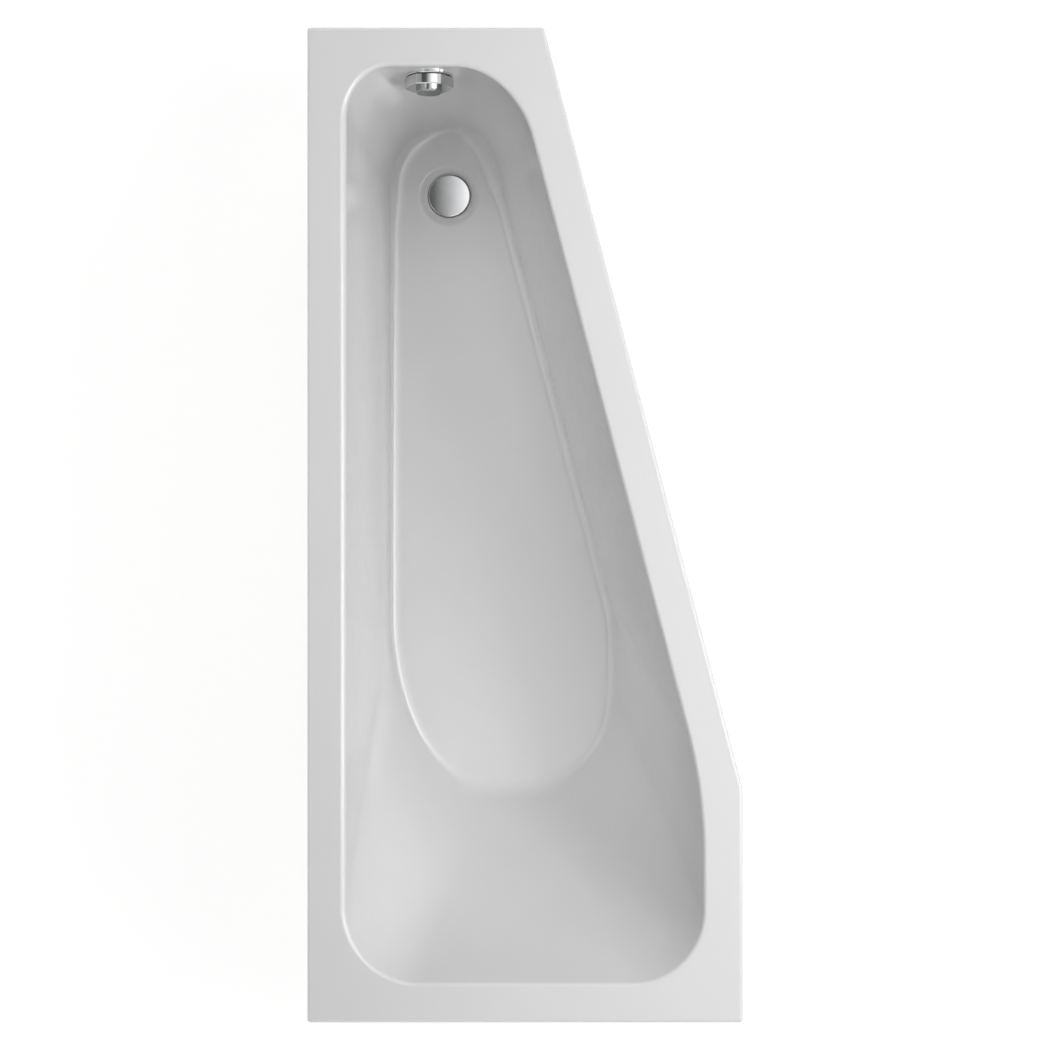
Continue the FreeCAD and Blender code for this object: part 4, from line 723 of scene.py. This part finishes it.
def greatest(tree, sources):
    """The greatest of some numbers."""
    result = sources[0]
    for source in sources[1:]:
        node = add_node(tree, "ShaderNodeMath", operation="MAXIMUM")
        tree.links.new(result, node.inputs[0])
        tree.links.new(source, node.inputs[1])
        result = node.outputs["Value"]
    return result


def spread(tree, source, low, high, start=0, end=1):
    """A number moved from one range to another."""
    values = {"From Min": start, "From Max": end, "To Min": low, "To Max": high}
    node = add_node(tree, "ShaderNodeMapRange", values)
    tree.links.new(source, node.inputs["Value"])
    return node.outputs["Result"]


def ramp(tree, source, stops):
    """A colour from a row of stops, each a place from 0 to 1 and its colour."""
    node = add_node(tree, "ShaderNodeValToRGB")
    while len(node.color_ramp.elements) < len(stops):
        node.color_ramp.elements.new(1)
    for element, (place, colour) in zip(node.color_ramp.elements, stops):
        element.position = place
        element.color = (*colour, 1)
    tree.links.new(source, node.inputs["Fac"])
    return node.outputs["Color"]


def mixed(tree, factor, first, second, blend="MIX"):
    """Two colours mixed by a factor, which is a number or a socket."""
    node = add_node(tree, "ShaderNodeMix", data_type="RGBA", blend_type=blend)
    for socket, source in zip(MIX_INPUTS, (factor, first, second)):
        if isinstance(source, bpy.types.NodeSocket):
            tree.links.new(source, node.inputs[socket])
        else:
            node.inputs[socket].default_value = source
    return node.outputs[MIX_RESULT]


def raise_surface(tree, shader, height, distance, strength=1, under=None):
    """Gives the surface a relief, on top of another where one is given."""
    bump = add_node(tree, "ShaderNodeBump", {"Distance": distance, "Strength": strength})
    tree.links.new(height, bump.inputs["Height"])
    if under:
        tree.links.new(under.outputs["Normal"], bump.inputs["Normal"])
    tree.links.new(bump.outputs["Normal"], shader.inputs["Normal"])
    return bump


def shade(colour, factor):
    """A colour made lighter or darker."""
    return tuple(min(1, part * factor) for part in colour)


def shaded_stops(colour, tones):
    """Stops of a ramp, from places and how light the colour is there."""
    return [(place, shade(colour, tone)) for place, tone in tones]


def toned(tree, source, colour, tones):
    """A colour that a soft noise takes from one tone to another."""
    return ramp(tree, source, shaded_stops(colour, zip(NOISE_SPAN, tones)))


def moulded(name, colour, variation, rough, grain, relief, metallic=0):
    """A plain material with cloudy tone, uneven gloss and a fine grain. Grain is in grains per metre."""
    material, tree, shader = new_material(name)
    place = object_place(tree)
    cloud = noise(tree, place, grain / CLOUD_GRAINS, detail=3)
    fine = noise(tree, place, grain, detail=5, roughness=0.6)
    tree.links.new(toned(tree, cloud, colour, (1 - variation, 1 + variation)), shader.inputs["Base Color"])
    tree.links.new(spread(tree, fine, *rough, *NOISE_SPAN), shader.inputs["Roughness"])
    raise_surface(tree, shader, fine, relief)
    shader.inputs["Metallic"].default_value = metallic
    shader.inputs["IOR"].default_value = PLASTIC_IOR
    return material


# Acrylic: how many clouds, gloss patches, waves and grains there are in a metre, and how high they are

ACRYLIC = (0.76, 0.76, 0.76)
ACRYLIC_TONES = (0.992, 1.008)
ACRYLIC_ROUGHNESS = (0.13, 0.18)
ACRYLIC_IOR = 1.49
ACRYLIC_CLOUDS = 9
ACRYLIC_PATCHES = 35
ACRYLIC_WAVES = 26
ACRYLIC_WAVE_HEIGHT = 0.12 * MM
ACRYLIC_GRAINS = 420
ACRYLIC_GRAIN_HEIGHT = 0.004 * MM


def acrylic():
    """Glossy sanitary acrylic: nearly even in tone, with the faint waves of a formed sheet."""
    material, tree, shader = new_material("acrylic")
    place = object_place(tree)
    cloud = noise(tree, place, ACRYLIC_CLOUDS, detail=3)
    patches = noise(tree, place, ACRYLIC_PATCHES, detail=3)
    tree.links.new(toned(tree, cloud, ACRYLIC, ACRYLIC_TONES), shader.inputs["Base Color"])
    tree.links.new(spread(tree, patches, *ACRYLIC_ROUGHNESS, *NOISE_SPAN), shader.inputs["Roughness"])
    swell = noise(tree, place, ACRYLIC_WAVES, detail=2, roughness=0.4)
    waves = raise_surface(tree, shader, swell, ACRYLIC_WAVE_HEIGHT)
    grain = noise(tree, place, ACRYLIC_GRAINS, detail=2)
    raise_surface(tree, shader, grain, ACRYLIC_GRAIN_HEIGHT, under=waves)
    shader.inputs["IOR"].default_value = ACRYLIC_IOR
    return material


# Glass fibre laminate: four layers of strands, each stretched along its own direction, in lumpy resin

LAMINATE = (0.72, 0.70, 0.60)
LAMINATE_TONES = (0.78, 1)
STRAND_TURNS = (0.2, 0.95, 1.7, 2.5)
STRAND_TURN_SHARES = (1 / 3, 1 / 2, 1)
STRAND_STRETCH = (30, 420, 300)
STRAND_SPAN = (0.56, 0.68)
STRAND_TONE = 1.18
STRAND_HEIGHT = 0.35 * MM
STRAND_STRENGTH = 0.8
RESIN_PATCHES = 14
RESIN_ROUGHNESS = (0.28, 0.5)
RESIN_LUMPS = 55
RESIN_LUMP_HEIGHT = 1.1 * MM
RESIN_COAT = 0.25
RESIN_COAT_ROUGHNESS = 0.25


def laminate():
    """Glass fibre mat in resin: short strands laid every way under an uneven coat."""
    material, tree, shader = new_material("glass_fibre_laminate")
    layers = []
    for turn in STRAND_TURNS:
        place = object_place(tree, STRAND_STRETCH, [turn * share for share in STRAND_TURN_SHARES])
        streaks = noise(tree, place, 1, detail=2, roughness=0.4, distortion=0.3)
        layers.append(spread(tree, streaks, 0, 1, *STRAND_SPAN))
    strands = greatest(tree, layers)
    resin = noise(tree, object_place(tree), RESIN_PATCHES)
    ground = toned(tree, resin, LAMINATE, LAMINATE_TONES)
    light = (*shade(LAMINATE, STRAND_TONE), 1)
    tree.links.new(mixed(tree, strands, ground, light), shader.inputs["Base Color"])
    tree.links.new(spread(tree, resin, *RESIN_ROUGHNESS, *NOISE_SPAN), shader.inputs["Roughness"])
    lumps = raise_surface(tree, shader, noise(tree, object_place(tree), RESIN_LUMPS), RESIN_LUMP_HEIGHT)
    raise_surface(tree, shader, strands, STRAND_HEIGHT, STRAND_STRENGTH, lumps)
    shader.inputs["Coat Weight"].default_value = RESIN_COAT
    shader.inputs["Coat Roughness"].default_value = RESIN_COAT_ROUGHNESS
    return material


# Chipboard: cells of two sizes, stretched along the way the board was pressed and warped at their edges

BOARD = (0.55, 0.42, 0.28)
BOARD_TONES = ((0.15, 0.62), (0.5, 1), (0.85, 1.32))
BOARD_ROUGHNESS = (0.6, 0.85)
BOARD_PATCHES = 90
BOARD_HEIGHT = 0.3 * MM
CHIP_STRETCH = (1, 0.55, 1)
CHIP_TURN = (0, 0, 0.5)
CHIP_WARP = 0.02
CHIP_WARP_WAVES = 60
CHIPS = 170
FINE_CHIPS = 480
FINE_CHIP_SHARE = 0.4


def board():
    """Chipboard: pressed chips of many tones."""
    material, tree, shader = new_material("chipboard")
    place = object_place(tree, CHIP_STRETCH, CHIP_TURN)
    bent = warped(tree, place, CHIP_WARP, CHIP_WARP_WAVES)
    tone = mixed(tree, FINE_CHIP_SHARE, cells(tree, bent, CHIPS), cells(tree, bent, FINE_CHIPS))
    patches = noise(tree, place, BOARD_PATCHES)
    tree.links.new(ramp(tree, tone, shaded_stops(BOARD, BOARD_TONES)), shader.inputs["Base Color"])
    tree.links.new(spread(tree, patches, *BOARD_ROUGHNESS, *NOISE_SPAN), shader.inputs["Roughness"])
    raise_surface(tree, shader, tone, BOARD_HEIGHT)
    return material


# Softwood: growth bands and fibres, both stretched along the grain

BATTEN = (0.66, 0.52, 0.34)
BATTEN_TONES = ((0.32, 0.70), (0.5, 1), (0.62, 1.12))
BATTEN_ROUGHNESS = (0.5, 0.75)
BAND_STRETCH = (4, 60, 60)
BANDS = 1.6
FIBRE_STRETCH = (14, 900, 900)
FIBRE_STOPS = ((0.35, (0.72, 0.66, 0.58)), (0.6, (1, 1, 1)))
FIBRE_SHARE = 0.6
FIBRE_HEIGHT = 0.15 * MM


def batten(name, angle):
    """Planed softwood with its grain along a direction in plan, given as an angle from +X."""
    material, tree, shader = new_material(name)
    turn = (0, 0, -angle)
    along = object_place(tree, BAND_STRETCH, turn)
    bands = noise(tree, along, BANDS, detail=3, roughness=0.5, distortion=1.2)
    fibre = noise(tree, object_place(tree, FIBRE_STRETCH, turn), 1)
    grain = ramp(tree, bands, shaded_stops(BATTEN, BATTEN_TONES))
    hairs = ramp(tree, fibre, FIBRE_STOPS)
    tree.links.new(mixed(tree, FIBRE_SHARE, grain, hairs, "MULTIPLY"), shader.inputs["Base Color"])
    tree.links.new(spread(tree, fibre, *BATTEN_ROUGHNESS, *NOISE_SPAN), shader.inputs["Roughness"])
    raise_surface(tree, shader, fibre, FIBRE_HEIGHT)
    return material


# Galvanised steel: spangles with bent edges, and a fine grain

RAIL_STEEL = (0.60, 0.61, 0.62)
SPANGLE_TONES = ((0.1, 0.72), (0.5, 0.95), (0.9, 1.2))
SPANGLE_ROUGHNESS = (0.3, 0.5)
SPANGLE_SPAN = (0.1, 0.9)
SPANGLES = 105
SPANGLE_WARP = 0.006
SPANGLE_WARP_WAVES = 240
RAIL_GRAINS = 900
RAIL_GRAIN_HEIGHT = 0.02 * MM


def rail_steel():
    """Hot-dip galvanised steel: spangled grains with their own gloss."""
    material, tree, shader = new_material("galvanised_steel")
    place = object_place(tree)
    spangles = cells(tree, warped(tree, place, SPANGLE_WARP, SPANGLE_WARP_WAVES), SPANGLES)
    tone = ramp(tree, spangles, shaded_stops(RAIL_STEEL, SPANGLE_TONES))
    tree.links.new(tone, shader.inputs["Base Color"])
    tree.links.new(spread(tree, spangles, *SPANGLE_ROUGHNESS, *SPANGLE_SPAN), shader.inputs["Roughness"])
    raise_surface(tree, shader, noise(tree, place, RAIL_GRAINS), RAIL_GRAIN_HEIGHT)
    shader.inputs["Metallic"].default_value = 1
    return material


# Chrome: clouds, long wipe marks and slight waves

CHROME = (0.595, 0.6, 0.605)
CHROME_TONES = (0.96, 1.04)
CHROME_CLOUDS = 45
CHROME_WAVES = 60
CHROME_WAVE_HEIGHT = 0.006 * MM
WIPE_STRETCH = (40, 700, 700)
WIPE_TURN = (0, 0, 0.6)
WIPE_SPAN = (0.35, 0.75)


def chrome(name, tone, rough):
    """Chrome plating of a tone, with the faintest wipe marks, bright or satin by its range of roughness. A
    tone below 1 darkens the plating's colour as painted shade.
    """
    material, tree, shader = new_material(name)
    place = object_place(tree)
    marks = noise(tree, object_place(tree, WIPE_STRETCH, WIPE_TURN), 1, detail=3)
    cloud = noise(tree, place, CHROME_CLOUDS, detail=3)
    tree.links.new(toned(tree, cloud, shade(CHROME, tone), CHROME_TONES), shader.inputs["Base Color"])
    tree.links.new(spread(tree, marks, *rough, *WIPE_SPAN), shader.inputs["Roughness"])
    raise_surface(tree, shader, noise(tree, place, CHROME_WAVES, detail=2), CHROME_WAVE_HEIGHT)
    shader.inputs["Metallic"].default_value = 1
    return material


# Plain finishes by slot: the name, the colour and how far its tone varies, the range of roughness,
# the grains in a metre and their height, and 1 for a metal
MOULDED = {
    "zinc_steel": ("bright_zinc", (0.66, 0.66, 0.64), 0.09, (0.22, 0.4), 700, 0.02 * MM, 1),
    "pad_plastic": ("black_nylon", (0.06, 0.06, 0.065), 0.12, (0.38, 0.58), 1500, 0.06 * MM),
    "rubber": ("black_rubber", (0.05, 0.05, 0.05), 0.15, (0.62, 0.85), 1100, 0.05 * MM),
    "fitting_plastic": ("white_fitting", (0.78, 0.78, 0.76), 0.03, (0.28, 0.42), 800, 0.03 * MM),
    "nut_plastic": ("grey_fitting", (0.62, 0.63, 0.64), 0.04, (0.3, 0.46), 900, 0.04 * MM),
    "inner_plastic": ("natural_acetal", (0.70, 0.70, 0.68), 0.04, (0.25, 0.4), 700, 0.02 * MM),
    "brass": ("turned_brass", (0.72, 0.58, 0.32), 0.08, (0.18, 0.34), 1200, 0.015 * MM, 1),
    "hose_plastic": ("hose_plastic", (0.80, 0.80, 0.79), 0.03, (0.3, 0.45), 600, 0.03 * MM),
    "cable_sheath": ("black_sheath", (0.07, 0.07, 0.075), 0.1, (0.35, 0.5), 1400, 0.03 * MM),
    "ferrule_metal": ("nickel_plate", (0.72, 0.73, 0.74), 0.06, (0.16, 0.3), 900, 0.012 * MM, 1),
}
BRIGHT_ROUGHNESS = (0.03, 0.07)
SATIN_ROUGHNESS = (0.21, 0.24)
# The satin chrome's colour is darkened to this share of bright chrome: painted shade, for the dim
# surroundings that the knob's cap mirrors
SATIN_PAINTED_SHADE = 0.6

# The material of every slot of the record, and of the nodes that have their own
MATERIALS = {slot: moulded(*row) for slot, row in MOULDED.items()}
MATERIALS |= {
    "acrylic": acrylic(),
    "laminate": laminate(),
    "board": board(),
    "batten": batten("softwood_lengthways", math.pi / 2),
    "rail_steel": rail_steel(),
    "chrome": chrome("chrome", 1, BRIGHT_ROUGHNESS),
}
OWN_MATERIALS = {
    "head_rim_batten": batten("softwood_crossways", 0),
    "slant_rim_batten": batten("softwood_slanted", math.pi / 2 + SLANT_TURN),
    # The knob's cap is satin chrome with painted shade in its colour
    "knob_cap": chrome("satin_chrome_painted_dark", SATIN_PAINTED_SHADE, SATIN_ROUGHNESS),
}


def dress(piece, material):
    """Gives a piece one material."""
    piece.data.materials.clear()
    piece.data.materials.append(material)


def dress_nodes():
    """Gives every CAD node the material of its slot in the record, or its own."""
    for row in frame["record"]["subparts"]:
        name = row["node"]
        dress(frame["nodes"][name], OWN_MATERIALS.get(name, MATERIALS[row["material_slot"]]))


dress_nodes()
dress(tub_shell(), MATERIALS["acrylic"])
dress(overflow_hose(), MATERIALS["hose_plastic"])
dress(control_cable(), MATERIALS["cable_sheath"])
dress(plug_cap(), MATERIALS["chrome"])
# The seal's lip outside the cover is a painted shadow round the plug
dress(plug_lip_seal(), MATERIALS["rubber"])
for leg_name in LEGS:
    dress(threaded_stud(leg_name), MATERIALS["zinc_steel"])


# Floor, light and camera

FLOOR_SIZE = 60
FLOOR_DROP = 0.2 * MM
FLOOR_COLOUR = (0.88, 0.88, 0.88, 1)
# The floor shows a share of its own light and shadow, and for the rest a glow that changes with the distance
FLOOR_SHARE = 0.25
FLOOR_GLOW = (0.86, 1)
FLOOR_FADE = (0.9, 2.4)
WORLD_COLOUR = (1, 1, 1, 1)
WORLD_STRENGTH = 0.02
WORLD_SHOWN = 1
LAMP_AIM = Vector((0, 0, RIM_HEIGHT))
LAMP_DISTANCE = 3
# Each lamp's name, its azimuth from +X and elevation in degrees, its width, height and brightness,
# and whether gloss mirrors it
LAMPS = (
    ("key_low", -12, 28, 1.8, 0.9, 4.7, True),
    ("key_high", 0, 50, 1.6, 0.8, 8.1, True),
    ("key_top", 0, 66, 2.0, 1.0, 2.3, True),
    ("key_corner", 55, 32, 1.4, 1.0, 1.2, True),
    ("narrow_end_fill", 98, 52, 1.5, 1.0, 4.3, False),
    ("wide_end_fill", 250, 50, 1.5, 1.0, 2.9, False),
    ("left_high_fill", 178, 60, 2.0, 0.7, 1.8, True),
    ("left_side_fill", 180, -4, 2.6, 0.6, 7, False),
    ("narrow_end_side_fill", 90, -4, 2.2, 0.6, 6, False),
    ("wide_end_side_fill", 270, -4, 2.2, 0.6, 6, False),
)
# Each stop is a place across the card and its brightness there
PANEL_HEIGHT = 3.8
PANEL_REACH = (-2.0, 1.0)
PANEL_HALF = 2.2
PANEL_STOPS = (
    (-2.0, 0.5),
    (-1.3, 0.45),
    (-1.15, 0.1),
    (-0.65, 0.13),
    (-0.52, 0.2),
    (-0.21, 0.7),
    (0.18, 1.55),
    (0.4, 1.7),
)
CAMERA_HEIGHT = 5.58
CAMERA_LENS = 106.7
CAMERA_SENSOR = 36


def empty_material(name):
    """A material with nothing but its output, its node tree and the output's surface."""
    material = bpy.data.materials.new(name)
    material.use_nodes = True
    tree = material.node_tree
    tree.nodes.clear()
    return material, tree, add_node(tree, "ShaderNodeOutputMaterial").inputs["Surface"]


def level_sheet(name, low, high, z, material):
    """A level rectangle between two corners in plan."""
    plan = (low, (high[0], low[1]), high, (low[0], high[1]))
    mesh = bpy.data.meshes.new(name)
    mesh.from_pydata([(*place, z) for place in plan], [], [list(range(len(plan)))])
    mesh.materials.append(material)
    return new_object(name, mesh)


def shown_rays(tree):
    """One for the rays that show a background: from the camera, off gloss and through glass. Else nothing."""
    rays = add_node(tree, "ShaderNodeLightPath")
    names = ("Is Camera Ray", "Is Glossy Ray", "Is Transmission Ray")
    return greatest(tree, [rays.outputs[name] for name in names])


def studio_floor():
    """A plain pale floor that shows white with a soft shadow of the object."""
    material, tree, surface = empty_material("studio_floor")
    plain = add_node(tree, "ShaderNodeBsdfDiffuse", {"Color": FLOOR_COLOUR})
    where = add_node(tree, "ShaderNodeTexCoord")
    away = add_node(tree, "ShaderNodeVectorMath", operation="LENGTH")
    tree.links.new(where.outputs["Object"], away.inputs[0])
    shown_glow = [level / (1 - FLOOR_SHARE) for level in FLOOR_GLOW]
    glow = add_node(tree, "ShaderNodeEmission")
    tree.links.new(spread(tree, away.outputs["Value"], *shown_glow, *FLOOR_FADE), glow.inputs["Strength"])
    seen = add_node(tree, "ShaderNodeMixShader")
    tree.links.new(spread(tree, shown_rays(tree), 0, 1 - FLOOR_SHARE), seen.inputs["Fac"])
    for socket, shader in zip(seen.inputs[1:], (plain.outputs["BSDF"], glow.outputs["Emission"])):
        tree.links.new(shader, socket)
    tree.links.new(seen.outputs["Shader"], surface)
    half = FLOOR_SIZE / 2
    plane = level_sheet("studio_floor", (-half, -half), (half, half), -FLOOR_DROP, material)


def softbox(name, azimuth, elevation, width, height, strength, mirrored):
    """A soft rectangular lamp of some brightness in a direction from the tub, mirrored in gloss or not."""
    lamp = bpy.data.lights.new(name, "AREA")
    lamp.shape = "RECTANGLE"
    lamp.size = width
    lamp.size_y = height
    lamp.energy = strength * math.pi * width * height
    around, up = math.radians(azimuth), math.radians(elevation)
    away = Vector((math.cos(up) * math.cos(around), math.cos(up) * math.sin(around), math.sin(up)))
    holder = new_object(name, lamp)
    holder.location = LAMP_AIM + away * LAMP_DISTANCE
    holder.rotation_euler = (-away).to_track_quat("-Z", "Y").to_euler()
    holder.visible_camera = False
    holder.visible_glossy = mirrored


def keep_light_off(lamp_name, piece_name):
    """Stops one lamp from lighting one piece."""
    group = bpy.data.collections.new(f"{lamp_name}_receivers")
    group.objects.link(bpy.data.objects[piece_name])
    group.collection_objects[0].light_linking.link_state = "EXCLUDE"
    bpy.data.objects[lamp_name].light_linking.receiver_collection = group


def ceiling_panel():
    """A card above the tub that only gloss shows, dim over the straight side and bright over the other."""
    material, tree, surface = empty_material("ceiling_panel")
    where = add_node(tree, "ShaderNodeTexCoord")
    split = add_node(tree, "ShaderNodeSeparateXYZ")
    tree.links.new(where.outputs["Object"], split.inputs["Vector"])
    low, high = PANEL_REACH
    most = max(level for _, level in PANEL_STOPS)
    stops = [((x - low) / (high - low), (level / most,) * 3) for x, level in PANEL_STOPS]
    glow = add_node(tree, "ShaderNodeEmission", {"Strength": most})
    across = spread(tree, split.outputs["X"], 0, 1, low, high)
    tree.links.new(ramp(tree, across, stops), glow.inputs["Color"])
    tree.links.new(glow.outputs["Emission"], surface)
    panel = level_sheet("ceiling_panel", (low, -PANEL_HALF), (high, PANEL_HALF), PANEL_HEIGHT, material)
    panel.visible_camera = False
    panel.visible_diffuse = False
    panel.visible_shadow = False


def studio_world():
    """Dim even light from all round, that shows white."""
    world = bpy.data.worlds.new("studio")
    world.use_nodes = True
    tree = world.node_tree
    ground = tree.nodes["Background"]
    ground.inputs["Color"].default_value = WORLD_COLOUR
    level = spread(tree, shown_rays(tree), WORLD_STRENGTH, WORLD_SHOWN)
    tree.links.new(level, ground.inputs["Strength"])
    bpy.context.scene.world = world


def photo_camera():
    """A camera straight above the tub, with the narrow end at the top of the picture."""
    lens = bpy.data.cameras.new("camera")
    lens.lens = CAMERA_LENS
    lens.sensor_width = CAMERA_SENSOR
    holder = new_object("camera", lens)
    holder.location = (0, 0, CAMERA_HEIGHT)
    bpy.context.scene.camera = holder


studio_floor()
studio_world()
ceiling_panel()
for lamp_row in LAMPS:
    softbox(*lamp_row)
keep_light_off("key_top", "plug_cap")
photo_camera()
bpy.context.scene.view_settings.view_transform = "Standard"
